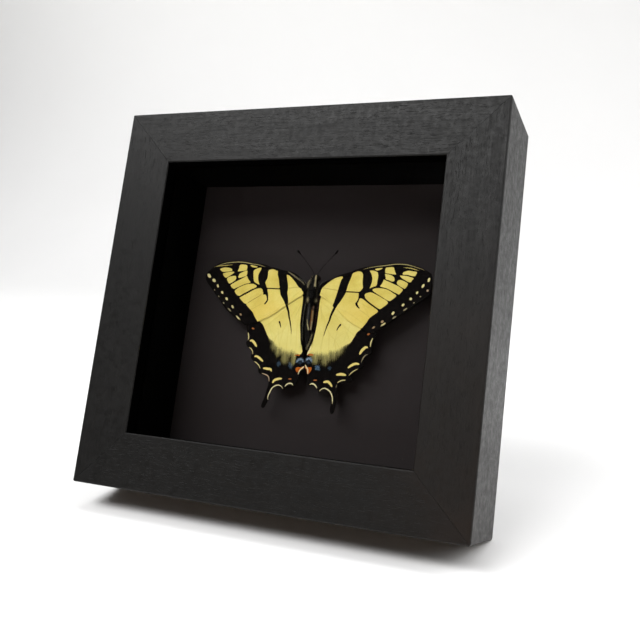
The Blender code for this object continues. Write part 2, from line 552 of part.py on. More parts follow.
def antenna(name, knots):
    """A thin shaft that swells into a club at its end."""
    n = len(knots)
    padded = [2 * Vector(knots[0]) - Vector(knots[1])] + [Vector(k) for k in knots] + [2 * Vector(knots[-1]) - Vector(knots[-2])]
    line = []
    for i in range(1, n):
        p0, p1, p2, p3 = padded[i - 1:i + 3]
        for k in range(3):
            t = k / 3
            line.append(0.5 * (2 * p1 + (p2 - p0) * t + (2 * p0 - 5 * p1 + 4 * p2 - p3) * t * t + (3 * p1 - p0 - 3 * p2 + p3) * t ** 3))
    line.append(Vector(knots[-1]))
    total = sum((line[i] - line[i - 1]).length for i in range(1, len(line)))
    run, points, faces = 0.0, [], []
    sides = 8
    for i, p in enumerate(line):
        if i:
            run += (p - line[i - 1]).length
        t = run / total
        ahead = (line[min(i + 1, len(line) - 1)] - line[max(i - 1, 0)]).normalized()
        across = Vector((-ahead.y, ahead.x))
        club = math.exp(-((t - 0.925) / 0.062) ** 2)
        radius = (0.2 + 0.36 * club) * (0.55 if i == len(line) - 1 else 1.0)
        v = 29.0 - 1.2 * math.sin(t * math.pi / 2)
        for a, b in circle(radius, sides):
            points.append((p.x + across.x * a, v + b, p.y + across.y * a))
    rows = len(line)
    for s in range(rows - 1):
        for i in range(sides):
            j = (i + 1) % sides
            faces.append([s * sides + i, s * sides + j, (s + 1) * sides + j, (s + 1) * sides + i])
    faces.append(list(range(sides)))
    faces.append(list(range(len(points) - sides, len(points))))
    return add(name, points, faces, insect_axes, FEELER, smooth=True)


antenna("antenna_left", ANTENNA_LEFT)
antenna("antenna_right", ANTENNA_RIGHT)

block = box(
    "mounting_pad", (BODY_X - BLOCK_W / 2, BLOCK_FRONT, 8.0 - BLOCK_H / 2),
    (BODY_X + BLOCK_W / 2, SPACER_BACK, 8.0 + BLOCK_H / 2), insect_axes, FOAM,
)

# ---------------------------------------------- origin at the bottom centre
bpy.context.view_layer.update()
graph = bpy.context.evaluated_depsgraph_get()
depths = []
for made in bpy.data.objects:
    if made.type == "MESH" and not made.hide_render:
        shape = made.evaluated_get(graph)
        depths += [(made.matrix_world @ point.co).y for point in shape.to_mesh().vertices]
        shape.to_mesh_clear()
stand.location = (0.0, -(min(depths) + max(depths)) / 2, -lowest * MM)
bpy.context.view_layer.update()
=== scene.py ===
"""Looks for the framed swallowtail: materials of the frame and a finely
modelled insect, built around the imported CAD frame. Lengths of the insect are
millimetres in its own plane: x across, z up the face, v the depth behind the
front face of the frame."""
import json
import math

import bpy
import numpy as np
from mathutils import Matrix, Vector, geometry


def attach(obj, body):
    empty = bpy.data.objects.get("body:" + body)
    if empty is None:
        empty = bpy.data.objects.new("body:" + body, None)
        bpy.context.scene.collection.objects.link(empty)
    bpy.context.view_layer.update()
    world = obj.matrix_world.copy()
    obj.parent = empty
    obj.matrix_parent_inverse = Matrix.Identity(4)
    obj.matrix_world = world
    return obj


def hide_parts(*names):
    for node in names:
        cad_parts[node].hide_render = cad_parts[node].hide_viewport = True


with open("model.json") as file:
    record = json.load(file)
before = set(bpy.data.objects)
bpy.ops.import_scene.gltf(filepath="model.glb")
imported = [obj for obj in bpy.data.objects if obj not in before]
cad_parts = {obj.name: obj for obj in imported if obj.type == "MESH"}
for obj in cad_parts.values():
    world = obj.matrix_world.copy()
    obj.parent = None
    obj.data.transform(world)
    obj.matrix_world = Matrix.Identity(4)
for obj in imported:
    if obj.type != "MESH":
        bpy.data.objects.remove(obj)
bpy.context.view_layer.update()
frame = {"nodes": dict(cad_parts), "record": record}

record = frame["record"]
nodes = frame["nodes"]
MM = 0.001

# ------------------------------------------------------------------ the axes
# The back of the moulding gives the lean: its normal points into the frame.
back_mount = next(m for m in record["mounts"] if m["name"] == "frame_back")
BACK = np.array(back_mount["axis"], float)
BACK /= np.linalg.norm(BACK)
UP = np.array((0.0, -BACK[2], BACK[1]))
SIDE = np.array((1.0, 0.0, 0.0))
ORIGIN = np.array(back_mount["pos_m"], float) - (30.0 * SIDE + 40.5 * BACK + 163.5 * UP) * MM
LEAN = math.atan2(-BACK[2], BACK[1])
MID = 85.75                # the insect's own origin, up the face
WING_V = 28.1
HIND_DROP = 0.8
BODY_X = 2.0


def place(x, v, z):
    """World points of millimetres across, deep and up from the middle of the face."""
    x, v, z = (np.asarray(a, float) for a in (x, v, z))
    return ORIGIN + (x[..., None] * SIDE + v[..., None] * BACK + (z[..., None] + MID) * UP) * MM


# ------------------------------------------------------------ node materials
class Graph:
    """A material's node tree, with short calls for what the finishes use."""

    def __init__(self, name):
        self.material = bpy.data.materials.new(name)
        self.material.use_nodes = True
        self.tree = self.material.node_tree
        self.tree.nodes.clear()
        self.out = self.tree.nodes.new("ShaderNodeOutputMaterial")

    def node(self, kind, inputs=None, **props):
        made = self.tree.nodes.new("ShaderNode" + kind)
        for key, value in props.items():
            setattr(made, key, value)
        for key, value in (inputs or {}).items():
            self.put(made.inputs[key], value)
        return made

    def put(self, socket, value):
        if isinstance(value, bpy.types.NodeSocket):
            self.tree.links.new(value, socket)
        elif value is not None:
            socket.default_value = value

    def math(self, operation, a, b=None, c=None, clamp=False):
        made = self.node("Math", operation=operation, use_clamp=clamp)
        for i, value in enumerate((a, b, c)):
            self.put(made.inputs[i], value)
        return made.outputs[0]

    def vector(self, operation, a, b=None, scale=None):
        made = self.node("VectorMath", operation=operation)
        self.put(made.inputs[0], a)
        self.put(made.inputs[1], b)
        if scale is not None:
            self.put(made.inputs["Scale"], scale)
        return made.outputs["Value" if operation in ("LENGTH", "DOT_PRODUCT", "DISTANCE") else "Vector"]

    def stretch(self, a, scale, move=(0, 0, 0)):
        made = self.node("Mapping", {"Vector": a, "Scale": scale, "Location": move})
        return made.outputs["Vector"]

    def noise(self, a, scale=1.0, detail=3.0, rough=0.5, twist=0.0, colour=False):
        made = self.node("TexNoise", {"Vector": a, "Scale": scale, "Detail": detail, "Roughness": rough, "Distortion": twist})
        return made.outputs["Color" if colour else "Fac"]

    def cells(self, a, scale=1.0, feature="F1", out="Distance", spread=1.0):
        made = self.node("TexVoronoi", {"Vector": a, "Scale": scale, "Randomness": spread}, feature=feature)
        return made.outputs[out]

    def between(self, value, low, high, to_low=0.0, to_high=1.0, smooth=False):
        made = self.node("MapRange", interpolation_type="SMOOTHSTEP" if smooth else "LINEAR")
        for key, item in zip(("Value", "From Min", "From Max", "To Min", "To Max"), (value, low, high, to_low, to_high)):
            self.put(made.inputs[key], item)
        return made.outputs["Result"]

    def ramp(self, value, stops, mode="LINEAR"):
        made = self.node("ValToRGB", {"Fac": value})
        ramp = made.color_ramp
        ramp.interpolation = mode
        while len(ramp.elements) < len(stops):
            ramp.elements.new(0.5)
        for element, (at, colour) in zip(ramp.elements, stops):
            element.position = at
            element.color = (*colour, 1.0)
        return made.outputs["Color"]

    def mix(self, factor, a, b, mode="MIX"):
        made = self.node("Mix", data_type="RGBA", blend_type=mode)
        self.put(made.inputs[0], factor)
        for socket, value in ((made.inputs[6], a), (made.inputs[7], b)):
            self.put(socket, (*value, 1.0) if isinstance(value, tuple) and len(value) == 3 else value)
        return made.outputs[2]

    def attribute(self, name, out="Fac"):
        return self.node("Attribute", attribute_name=name).outputs[out]

    def bump(self, height, distance, strength=1.0, after=None):
        made = self.node("Bump", {"Height": height, "Distance": distance, "Strength": strength})
        if after is not None:
            self.put(made.inputs["Normal"], after)
        return made.outputs["Normal"]

    def local(self):
        """Millimetres across, deep and up the face, for anything that leans with the frame."""
        made = self.node("TexCoord").outputs["Object"]
        made = self.vector("SUBTRACT", made, tuple(ORIGIN))
        made = self.node("VectorRotate", {"Vector": made, "Angle": LEAN}, rotation_type="X_AXIS").outputs[0]
        return self.vector("SCALE", made, scale=1000.0)

    def finish(self, shader):
        self.tree.links.new(shader, self.out.inputs["Surface"])
        return self.material


def principled(g, colour, roughness, normal=None, **values):
    made = g.node("BsdfPrincipled", {"Base Color": colour if not isinstance(colour, tuple) else (*colour, 1.0), "Roughness": roughness})
    for key, value in values.items():
        g.put(made.inputs[key.replace("_", " ").title().replace("Ior", "IOR")], value)
    if normal is not None:
        g.put(made.inputs["Normal"], normal)
    return made.outputs["BSDF"]


# --------------------------------------------------------------- the frame
def stained_wood(name, along, shift, tone=1.0):
    """Black stained open-grained wood, its grain along x or z of the face."""
    g = Graph(name)
    at = g.vector("ADD", g.local(), shift)
    def run(length, across):
        return (length, across, across) if along == "x" else (across, across, length)
    wander = g.vector("SCALE", g.vector("SUBTRACT", g.noise(at, 0.022, 2.0, colour=True), (0.5, 0.5, 0.5)), scale=5.0)
    bent = g.vector("ADD", at, wander)
    figure = g.noise(g.stretch(bent, run(0.010, 0.16)), 1.0, 3.0, 0.55, 0.4)
    streak = g.noise(g.stretch(bent, run(0.028, 0.75)), 1.0, 5.0, 0.62, 0.2)
    fibre = g.noise(g.stretch(bent, run(0.11, 3.4)), 1.0, 4.0, 0.65)
    pore = g.noise(g.stretch(bent, run(0.26, 4.2)), 1.0, 2.0, 0.5)
    pit = g.between(pore, 0.60, 0.72, smooth=True)
    band = g.between(figure, 0.35, 0.65, 0.35, 1.0)
    pit = g.math("MULTIPLY", pit, band)
    rays = g.noise(g.stretch(at, run(0.42, 0.30)), 1.0, 4.0, 0.62)
    mottle = g.noise(at, 0.05, 3.0, 0.6)
    value = g.math("ADD", g.math("MULTIPLY", streak, 0.45), g.math("MULTIPLY", fibre, 0.35))
    value = g.math("ADD", value, g.math("MULTIPLY", figure, 0.20))
    colour = g.ramp(value, [
        (0.30, (0.0008 * tone, 0.0008 * tone, 0.0008 * tone)), (0.46, (0.0024 * tone, 0.0024 * tone, 0.0023 * tone)),
        (0.56, (0.0048 * tone, 0.0047 * tone, 0.0045 * tone)), (0.72, (0.0100 * tone, 0.0097 * tone, 0.0092 * tone)),
    ])
    colour = g.mix(g.between(mottle, 0.35, 0.7, 0.0, 0.35), colour, (0.0062 * tone, 0.0058 * tone, 0.0053 * tone))
    colour = g.mix(g.math("MULTIPLY", pit, 0.40), colour, (0.0010, 0.0010, 0.0010))
    speck = g.between(g.noise(g.stretch(at, run(0.9, 2.2)), 1.0, 3.0, 0.6), 0.60, 0.74)
    colour = g.mix(g.math("MULTIPLY", speck, 0.45), colour, (0.0170 * tone, 0.0165 * tone, 0.0155 * tone))
    rough = g.between(value, 0.35, 0.65, 0.54, 0.40)
    rough = g.math("ADD", rough, g.between(rays, 0.32, 0.68, -0.08, 0.08))
    rough = g.math("ADD", rough, g.math("MULTIPLY", pit, 0.12), clamp=True)
    # Painted shade: the inner faces of the lip are painted near black, fully rough and without reflection, standing in
    # for the shade they sit in.
    place_ = g.node("SeparateXYZ", {"Vector": g.local()})
    side_in = g.math("SUBTRACT", g.math("ABSOLUTE", place_.outputs[0]), 65.0)
    high_in = g.math("SUBTRACT", g.math("ABSOLUTE", g.math("SUBTRACT", place_.outputs[2], MID)), 61.75)
    inside = g.between(g.math("MAXIMUM", side_in, high_in), 0.02, 0.30, 1.0, 0.0)
    inside = g.math("MULTIPLY", inside, g.between(place_.outputs[1], 0.5, 0.9))
    colour = g.mix(inside, colour, (0.0005, 0.0005, 0.0005))
    rough = g.math("MAXIMUM", rough, inside)
    height = g.math("SUBTRACT", g.math("MULTIPLY", value, 0.55), g.math("MULTIPLY", pit, 0.5))
    height = g.math("ADD", height, g.math("MULTIPLY", rays, 0.10))
    # A browner cast low on the stiles.
    brown = g.math("MULTIPLY", g.between(place_.outputs[0], 45.0, 80.0), g.between(place_.outputs[2], 30.0, 120.0, 1.0, 0.0))
    brown = g.math("MULTIPLY", brown, g.between(g.noise(at, 0.045, 2.0, 0.5), 0.35, 0.65, 0.3, 0.8))
    colour = g.mix(brown, colour, (0.0095 * tone, 0.0060 * tone, 0.0042 * tone))
    # Painted sheen: the outer sides of the stiles are painted lighter over a cross ripple, standing in for their
    # grazing reflection of the pale backdrop.
    outer = g.between(g.math("ABSOLUTE", place_.outputs[0]), 88.3, 88.8)
    ripple = g.noise(g.stretch(at, (0.1, 0.10, 0.36)), 1.0, 4.0, 0.6, 0.3)
    thin = g.math("MULTIPLY", outer, g.between(ripple, 0.35, 0.66, 0.35, 1.0))
    colour = g.mix(g.math("MULTIPLY", thin, 0.55), colour, (0.0300, 0.0300, 0.0292))
    rough = g.math("SUBTRACT", rough, g.math("MULTIPLY", outer, 0.04))
    height = g.math("ADD", height, g.math("MULTIPLY", g.math("MULTIPLY", outer, ripple), 0.35))
    normal = g.bump(height, 0.00018, 0.75)
    shader = principled(g, colour, rough, normal, specular_ior_level=0.17)
    # Painted shade: the IOR falls to 1 on the inner lip faces, so they reflect nothing.
    g.put(shader.node.inputs["IOR"], g.between(inside, 0.0, 1.0, 1.5, 1.0))
    return g.finish(shader)


# Painted light and shade: each rail has its own tone, the top rail painted lighter (1.15) and the bottom rail darker
# (0.85), standing in for the light falling from above.
WOOD = {
    "rail_top": stained_wood("stained_wood_top", "x", (11.0, 3.0, 40.0), 1.15),
    "rail_bottom": stained_wood("stained_wood_bottom", "x", (310.0, 61.0, 7.0), 0.85),
    "rail_left": stained_wood("stained_wood_left", "z", (75.0, 18.0, 190.0), 1.0),
    "rail_right": stained_wood("stained_wood_right", "z", (-210.0, 33.0, -90.0), 1.05),
}
for name, material in WOOD.items():
    nodes[name].data.materials.clear()
    nodes[name].data.materials.append(material)


def finish_node(names, material):
    for name in names:
        nodes[name].data.materials.clear()
        nodes[name].data.materials.append(material)


def clear_pane():
    """A thin pane: light goes straight through, with a weak reflection."""
    g = Graph("clear_glass")
    at = g.local()
    smear = g.between(g.noise(at, 0.05, 4.0, 0.6), 0.35, 0.75, 0.26, 0.36)
    # The same from both faces: weak face on, strong only at a graze.
    slant = g.node("LayerWeight", {"Blend": 0.5}).outputs["Facing"]
    graze = g.math("POWER", slant, 5.0)
    amount = g.math("ADD", g.math("MULTIPLY", graze, smear), g.math("MULTIPLY", smear, 0.0003))
    through = g.node("BsdfTransparent", {"Color": (0.950, 0.955, 0.950, 1.0)}).outputs[0]
    gloss = g.node("BsdfGlossy", {"Color": (1.0, 1.0, 1.0, 1.0), "Roughness": 0.02}).outputs[0]
    mix = g.node("MixShader")
    g.put(mix.inputs[0], amount)
    g.put(mix.inputs[1], through)
    g.put(mix.inputs[2], gloss)
    return g.finish(mix.outputs[0])


def black_card():
    g = Graph("black_card")
    at = g.local()
    grain = g.noise(at, 1.6, 5.0, 0.7)
    colour = g.ramp(grain, [(0.3, (0.0004, 0.0004, 0.0004)), (0.7, (0.0012, 0.0011, 0.0011))])
    normal = g.bump(grain, 0.00008, 0.7)
    return g.finish(principled(g, colour, g.between(grain, 0.3, 0.7, 0.85, 0.97), normal, specular_ior_level=0.03))


def mount_paper():
    g = Graph("mount_paper")
    at = g.local()
    fibre = g.noise(g.stretch(at, (0.8, 1.0, 2.3)), 1.3, 6.0, 0.72, 0.5)
    fine = g.noise(at, 7.0, 3.0, 0.6)
    cloud = g.noise(at, 0.03, 3.0, 0.55)
    value = g.math("ADD", g.math("MULTIPLY", fibre, 0.6), g.math("MULTIPLY", fine, 0.4))
    colour = g.ramp(value, [(0.32, (0.0132, 0.0101, 0.0107)), (0.5, (0.0168, 0.0129, 0.0137)), (0.7, (0.0222, 0.0174, 0.0182))])
    colour = g.mix(g.between(cloud, 0.35, 0.7, 0.0, 0.35), colour, (0.0192, 0.0142, 0.0146))
    normal = g.bump(value, 0.00006, 0.6)
    return g.finish(principled(g, colour, g.between(value, 0.3, 0.7, 0.80, 0.92), normal, specular_ior_level=0.25))


def fibreboard(name, base):
    g = Graph(name)
    at = g.local()
    speck = g.noise(at, 1.1, 6.0, 0.75)
    fine = g.noise(g.stretch(at, (1.0, 1.0, 0.55)), 4.5, 4.0, 0.7)
    scuff = g.between(g.noise(g.stretch(at, (0.10, 0.10, 0.55)), 1.0, 5.0, 0.75, 1.0), 0.62, 0.78)
    value = g.math("ADD", g.math("MULTIPLY", speck, 0.55), g.math("MULTIPLY", fine, 0.45))
    dark, pale = tuple(c * 0.65 for c in base), tuple(c * 1.5 for c in base)
    colour = g.ramp(value, [(0.3, dark), (0.7, pale)])
    colour = g.mix(g.math("MULTIPLY", scuff, 0.25), colour, tuple(c * 3.2 for c in base))
    normal = g.bump(value, 0.00010, 0.8)
    return g.finish(principled(g, colour, g.between(value, 0.3, 0.7, 0.58, 0.8), normal, specular_ior_level=0.4))


def plated_steel():
    g = Graph("plated_steel")
    at = g.local()
    brush = g.noise(g.stretch(at, (0.25, 6.0, 6.0)), 1.0, 4.0, 0.6)
    bloom = g.noise(at, 0.35, 5.0, 0.65)
    spots = g.between(g.noise(at, 1.3, 6.0, 0.75), 0.62, 0.72)
    colour = g.ramp(bloom, [(0.3, (0.46, 0.46, 0.44)), (0.55, (0.60, 0.60, 0.585)), (0.75, (0.66, 0.655, 0.62))])
    colour = g.mix(g.math("MULTIPLY", spots, 0.5), colour, (0.24, 0.215, 0.18))
    rough = g.math("ADD", g.between(brush, 0.3, 0.7, 0.24, 0.38), g.math("MULTIPLY", spots, 0.25))
    normal = g.bump(g.math("ADD", brush, g.math("MULTIPLY", bloom, 0.6)), 0.00003, 0.5)
    return g.finish(principled(g, colour, rough, normal, metallic=1.0))


def foam():
    g = Graph("foam_pad")
    at = g.local()
    bubble = g.cells(at, 3.2, "F1")
    colour = g.ramp(bubble, [(0.0, (0.002, 0.002, 0.002)), (0.6, (0.011, 0.011, 0.011))])
    return g.finish(principled(g, colour, g.between(bubble, 0.0, 0.6, 0.95, 0.85), g.bump(bubble, 0.00015, 0.8), specular_ior_level=0.2))


finish_node(["glass_pane"], clear_pane())
finish_node(["spacer_bottom", "spacer_top", "spacer_left", "spacer_right"], black_card())
finish_node(["mount_board"], mount_paper())
finish_node(["back_panel"], fibreboard("fibreboard_panel", (0.020, 0.019, 0.0175)))
finish_node(["strut_board"], fibreboard("fibreboard_strut", (0.017, 0.0165, 0.016)))
finish_node(
    ["tab_bottom", "tab_left", "tab_right", "tab_top", "hinge_plate", "hinge_pin", "panel_rivet_left",
     "panel_rivet_right", "strut_leaf", "strut_rivet_left", "strut_rivet_right"],
    plated_steel(),
)
finish_node(["mounting_pad"], foam())


# ----------------------------------------------------- outlines and markings
# Knots in millimetres (x, z), in the order of the wing outlines of the model.
FOREWING_RIGHT = [
    (5.7, 12.9), (6.7, 14.3), (8.4, 15.2), (10.0, 15.8), (12.1, 17.0), (14.2, 18.1), (16.7, 19.0),
    (19.6, 19.9), (22.1, 21.0), (24.6, 21.75), (27.1, 22.25), (30.0, 22.8), (32.9, 23.25),
    (35.8, 23.75), (38.75, 24.05), (41.7, 24.1), (44.6, 24.0), (47.5, 23.55), (50.0, 22.9),
    (52.1, 22.0), (54.2, 21.05), (55.6, 20.1), (56.4, 19.0), (56.75, 17.1), (56.8, 14.6),
    (56.7, 12.3), (56.2, 10.8), (54.8, 9.5), (52.9, 8.3), (51.4, 6.9), (49.8, 5.7), (48.1, 4.3),
    (46.6, 3.0), (44.9, 1.8), (43.1, 0.2), (41.2, -1.2), (39.4, -2.7), (37.5, -4.1),
    (35.8, -5.2), (34.2, -6.1), (32.6, -6.7), (30.0, -6.6), (27.0, -5.4), (23.5, -3.7),
    (20.0, -1.9), (16.6, 0.9), (13.3, 3.5), (9.6, 6.4), (5.7, 8.8), (5.45, 10.8),
]
FOREWING_LEFT = [
    (-1.35, 12.7), (-1.9, 13.8), (-2.9, 15.0), (-4.9, 16.7), (-7.4, 18.1), (-9.9, 19.0), (-12.8, 19.35),
    (-15.3, 19.8), (-17.8, 20.4), (-19.9, 20.7), (-22.4, 21.5), (-25.3, 22.0), (-28.25, 22.4),
    (-31.2, 22.7), (-34.1, 23.0), (-37.0, 23.15), (-39.9, 23.05), (-42.8, 22.8), (-45.3, 22.3),
    (-47.4, 21.6), (-49.4, 20.5), (-51.1, 19.3), (-52.3, 18.0), (-53.4, 16.9), (-53.9, 15.5),
    (-53.5, 13.6), (-52.4, 12.0), (-51.1, 10.7), (-49.8, 9.4), (-48.5, 8.1), (-47.3, 6.8),
    (-46.0, 5.6), (-44.3, 4.0), (-42.6, 2.2), (-41.1, 0.6), (-39.5, -0.75), (-37.4, -2.1),
    (-35.5, -3.5), (-33.7, -4.7), (-31.8, -5.6), (-30.1, -6.4), (-28.9, -6.9), (-26.4, -6.3),
    (-23.7, -5.2), (-19.9, -3.5), (-16.2, -1.4), (-12.0, 1.7), (-9.5, 3.5), (-5.4, 6.4),
    (-1.5, 8.9), (-1.4, 10.8),
]
HINDWING_RIGHT = [
    (5.7, 8.2), (8.0, 9.6), (14.0, 9.2), (22.0, 6.2), (29.0, 1.5), (33.6, -3.6),
    (34.8, -6.0), (34.6, -7.5), (33.8, -8.6), (33.2, -9.8), (32.9, -11.2), (32.8, -12.5),
    (33.3, -13.7), (33.7, -14.9), (33.2, -16.0), (32.3, -16.5), (31.2, -17.3), (30.3, -18.4),
    (29.9, -19.6), (30.3, -20.6), (30.5, -21.5), (29.8, -22.3), (28.7, -22.8), (27.3, -23.3),
    (25.9, -24.4), (25.0, -25.5), (24.7, -26.5), (25.4, -27.3), (25.8, -28.1), (25.0, -28.7),
    (23.4, -28.8), (21.7, -29.0), (20.4, -29.6), (19.6, -30.5), (19.3, -31.8), (19.6, -33.6),
    (19.8, -35.7), (19.8, -37.7), (19.7, -39.4), (19.5, -41.1), (19.1, -42.3), (18.3, -43.0),
    (17.6, -42.5), (17.2, -41.3), (17.2, -40.0), (17.4, -38.9), (17.2, -36.9), (16.6, -35.1),
    (15.5, -33.8), (14.2, -33.1), (12.9, -33.1), (12.0, -33.7), (11.3, -34.3), (10.6, -34.1),
    (10.1, -33.2), (9.4, -32.3), (8.3, -31.8), (7.1, -31.7), (6.2, -31.8), (5.4, -31.4),
    (4.7, -30.2), (4.2, -28.8), (3.8, -27.2), (3.2, -25.6), (2.95, -24.0), (2.95, -21.8),
    (3.0, -19.5), (3.3, -17.6), (4.0, -15.6), (4.7, -13.0), (5.2, -9.5), (5.35, -5.0),
    (5.4, 0.0), (5.5, 4.0),
]
HINDWING_LEFT = [
    (-1.5, 8.2), (-3.2, 9.6), (-8.8, 9.0), (-16.8, 6.0), (-23.6, 1.2), (-28.2, -3.6),
    (-29.1, -5.7), (-28.7, -7.1), (-28.2, -8.6), (-27.9, -9.9), (-27.5, -11.5), (-27.1, -13.3),
    (-27.6, -14.3), (-27.8, -15.2), (-27.2, -16.4), (-26.3, -17.0), (-24.9, -18.1), (-24.1, -19.5),
    (-24.4, -20.9), (-24.0, -22.1), (-22.7, -23.1), (-21.0, -24.3), (-19.8, -25.7), (-19.6, -26.9),
    (-19.2, -28.1), (-17.8, -28.7), (-16.0, -29.1), (-14.5, -30.1), (-13.75, -31.5), (-13.7, -33.2),
    (-14.1, -35.2), (-14.5, -37.3), (-15.0, -39.4), (-15.7, -41.5), (-15.8, -43.0), (-15.1, -43.6),
    (-14.2, -43.2), (-13.5, -41.7), (-12.9, -40.3), (-12.5, -39.3), (-12.3, -37.3), (-11.7, -35.7),
    (-10.5, -34.2), (-8.9, -33.5), (-7.7, -33.8), (-6.8, -34.6), (-6.0, -34.5), (-5.3, -33.6),
    (-4.3, -32.8), (-2.9, -32.4), (-1.6, -32.7), (-0.5, -32.3), (0.3, -30.8), (0.9, -28.9),
    (1.7, -26.8), (2.4, -24.8), (2.5, -22.8), (2.3, -20.6), (1.6, -18.6), (0.6, -16.2),
    (-0.1, -13.0), (-0.5, -9.5), (-0.8, -5.0), (-0.85, 0.0), (-1.1, 4.0),
]

# Markings of each wing: closed cells of yellow, fine lines, small spots
# (x, z, width, height, tilt, tone) and strokes.
FR_CELLS = [
    [(5.4, 1.7), (5.8, 5.8), (6, 8.3), (6.3, 10), (6.7, 11.6), (7.7, 12.9), (10, 15), (12.1, 16.5), (14.2,
        17.3), (15.5, 17.5), (15.8, 17.1), (15.2, 16), (14.7, 14), (14.3, 11.7), (13.8, 9.2), (13.4, 7.3), (13,
        5.4), (12.6, 3.8), (12.4, 2.1)],
    [(18.3, 11), (18.3, 11.7), (18.8, 14.2), (19.6, 16.7), (20.2, 18.8), (20.8, 19.4), (22.1, 19.9), (23.3,
        20.1), (24.6, 19.6), (25.2, 18.5), (25.3, 16.7), (25.5, 14.6), (25.8, 12.9), (25, 11.5), (24, 10.9),
        (21.7, 11)],
    [(14.1, 1.7), (14.4, 3.2), (15, 4.6), (16, 6.2), (16.9, 7.9), (17.9, 9.9), (18.3, 10.5), (21.7, 10.5),
        (23.9, 10.4), (24.2, 9.6), (24.2, 7.9), (23.7, 6.7), (23.1, 5.8), (23.5, 4.8), (24.3, 4), (25.2, 3.5),
        (25.4, 3.8), (24.5, 4.9), (24.2, 5.8), (24.5, 6.7), (24.8, 7.6), (25.2, 8.1), (26.2, 7.9), (27.5, 7.1),
        (29.2, 6), (30.8, 5), (32.5, 4), (34, 3), (33.8, 2.2), (32.5, 1.2), (31.2, 0.2), (30.2, -0.9), (29.2,
        -2.7), (27.7, -4.8), (26.7, -5.6), (25, -8.3), (20.8, -9.2), (16.7, -9.2)],
    [(28.2, 20.4), (29.2, 20.6), (30.6, 20.4), (31.9, 19.8), (32.4, 18.3), (32.3, 16.7), (32.2, 14.6), (31.9,
        13.8), (30.8, 13.4), (29.8, 13), (29.1, 12.6), (29.3, 13.5), (29.7, 15), (29.8, 16.9), (29.4, 18.3),
        (28.8, 19.6)],
    [(30.6, 21.2), (31.9, 21.6), (33.3, 21.8), (34.1, 21.8), (33.3, 21.2), (32.5, 20.8), (31.5, 20.6)],
    [(35.4, 21.8), (36.7, 22.2), (38.8, 22.3), (39.4, 21.2), (39.8, 20.2), (40.3, 19.2), (38.8, 19.2), (37.1,
        19.4), (35.6, 19.7), (35.3, 20.6)],
    [(35.4, 19.2), (36.7, 19.1), (38.1, 18.8), (39.4, 18.1), (39.9, 17.1), (39.8, 16.2), (38.8, 16), (37.3,
        16.5), (36, 16.9), (35.8, 17.9)],
    [(35.2, 16.7), (36.2, 16.3), (37.7, 15.8), (39.2, 15.2), (40.6, 14.6), (42.1, 14), (43.5, 13.2), (44.1,
        12.5), (43.5, 11.5), (42.7, 10.5), (41.7, 10.8), (40, 11.5), (38.3, 12.3), (36.7, 12.9), (35, 13.3),
        (33.8, 13.7), (34.5, 14.8), (34.9, 15.8)],
    [(30.4, 12.1), (31.7, 12.7), (33.3, 12.9), (35, 12.8), (36.7, 12.5), (38.3, 11.9), (40, 10.9), (41.5, 10),
        (41, 9), (40, 8.1), (39, 7.4), (37.7, 7.7), (36, 8.5), (34.4, 9.4), (32.9, 10.2), (31.2, 11.2)],
    [(27.1, 9.8), (27.7, 10.4), (29.2, 10.8), (30.4, 10.8), (32.1, 10.1), (33.8, 9.4), (35.4, 8.5), (37.1, 7.7),
        (38.2, 6.7), (37.5, 5.6), (36.2, 4.6), (35, 3.7), (34, 4), (32.5, 4.8), (30.8, 5.8), (29.2, 6.9), (27.7,
        8.1), (27.2, 9)],
    [(43.3, 20), (44.2, 20.6), (45.8, 21), (47.9, 20.8), (49.5, 20.5), (49.2, 19.4), (48.8, 18.7), (47.1, 18.8),
        (45.4, 19.2), (43.5, 19.2)],
    [(42.1, 18.7), (43.3, 18.8), (45, 18.7), (46.7, 18.3), (48.3, 17.8), (47.7, 16.9), (47.1, 16), (45.8, 16.2),
        (44.4, 16.9), (42.9, 17.8)],
    [(41.7, 16.7), (42.9, 16.8), (44.6, 16.2), (46, 15.4), (45.8, 14.4), (44.9, 13.1), (43.8, 13.5), (42.3,
        14.2), (41.2, 15.2), (41.2, 16)],
]
FR_LINES = [
    ([(6.7, 12), (10.4, 11.6), (14.4, 11.2)], 0.29, 0.35),
    ([(18.3, 10.8), (21.7, 10.8), (24.4, 10.7)], 0.38, 0.75),
    ([(30, 4), (25, 6.2)], 0.21, 0.15),
    ([(25, 3.3), (29.2, 0.8), (30.6, -0.4)], 0.25, 0.22),
    ([(14.6, 3.3), (19.6, 1.7), (25, -1.2), (28.8, -3.8)], 0.21, 0.12),
]
FR_SPOTS = [
    (55.1, 17.3, 1.08, 1.83, -12, "s"),
    (52.8, 14.6, 1.00, 1.75, -28, "s"),
    (50.5, 11.6, 0.83, 1.25, -25, "s"),
    (48, 8.8, 1.08, 1.17, 0, "s"),
    (45, 6, 1.00, 1.35, -35, "s"),
    (41, 2.2, 1.08, 1.58, -30, "s"),
    (36.6, -1.7, 1.33, 1.00, 35, "b"),
    (52.1, 10, 0.67, 0.50, 0, "g"),
    (49.6, 7.2, 0.75, 0.54, 35, "g"),
    (46.2, 4.2, 2.08, 0.62, 38, "g"),
    (41.8, 0.4, 1.92, 0.67, 38, "g"),
    (37.2, -2.9, 2.50, 0.75, 36, "c"),
    (55, 12.7, 0.92, 0.92, 0, "p"),
    (32.9, -4.4, 1.50, 0.67, 36, "b"),
]
FR_COSTA = [
    ([(25, 20.9), (27.1, 21.5), (30.6, 22.3), (34.6, 22.8), (37.5, 23.3), (40, 23.7), (43.8, 23.7), (46.7,
        23.2), (49.2, 22.5), (51.7, 21.8), (53, 21.2)], 0.36, "o"),
    ([(43.3, 22.3), (45.8, 22.2), (47.9, 21.8), (50.2, 21.2)], 0.34, "d"),
    ([(4.8, 13.3), (6.2, 14.6), (7.9, 15.4)], 0.8, "n"),
]
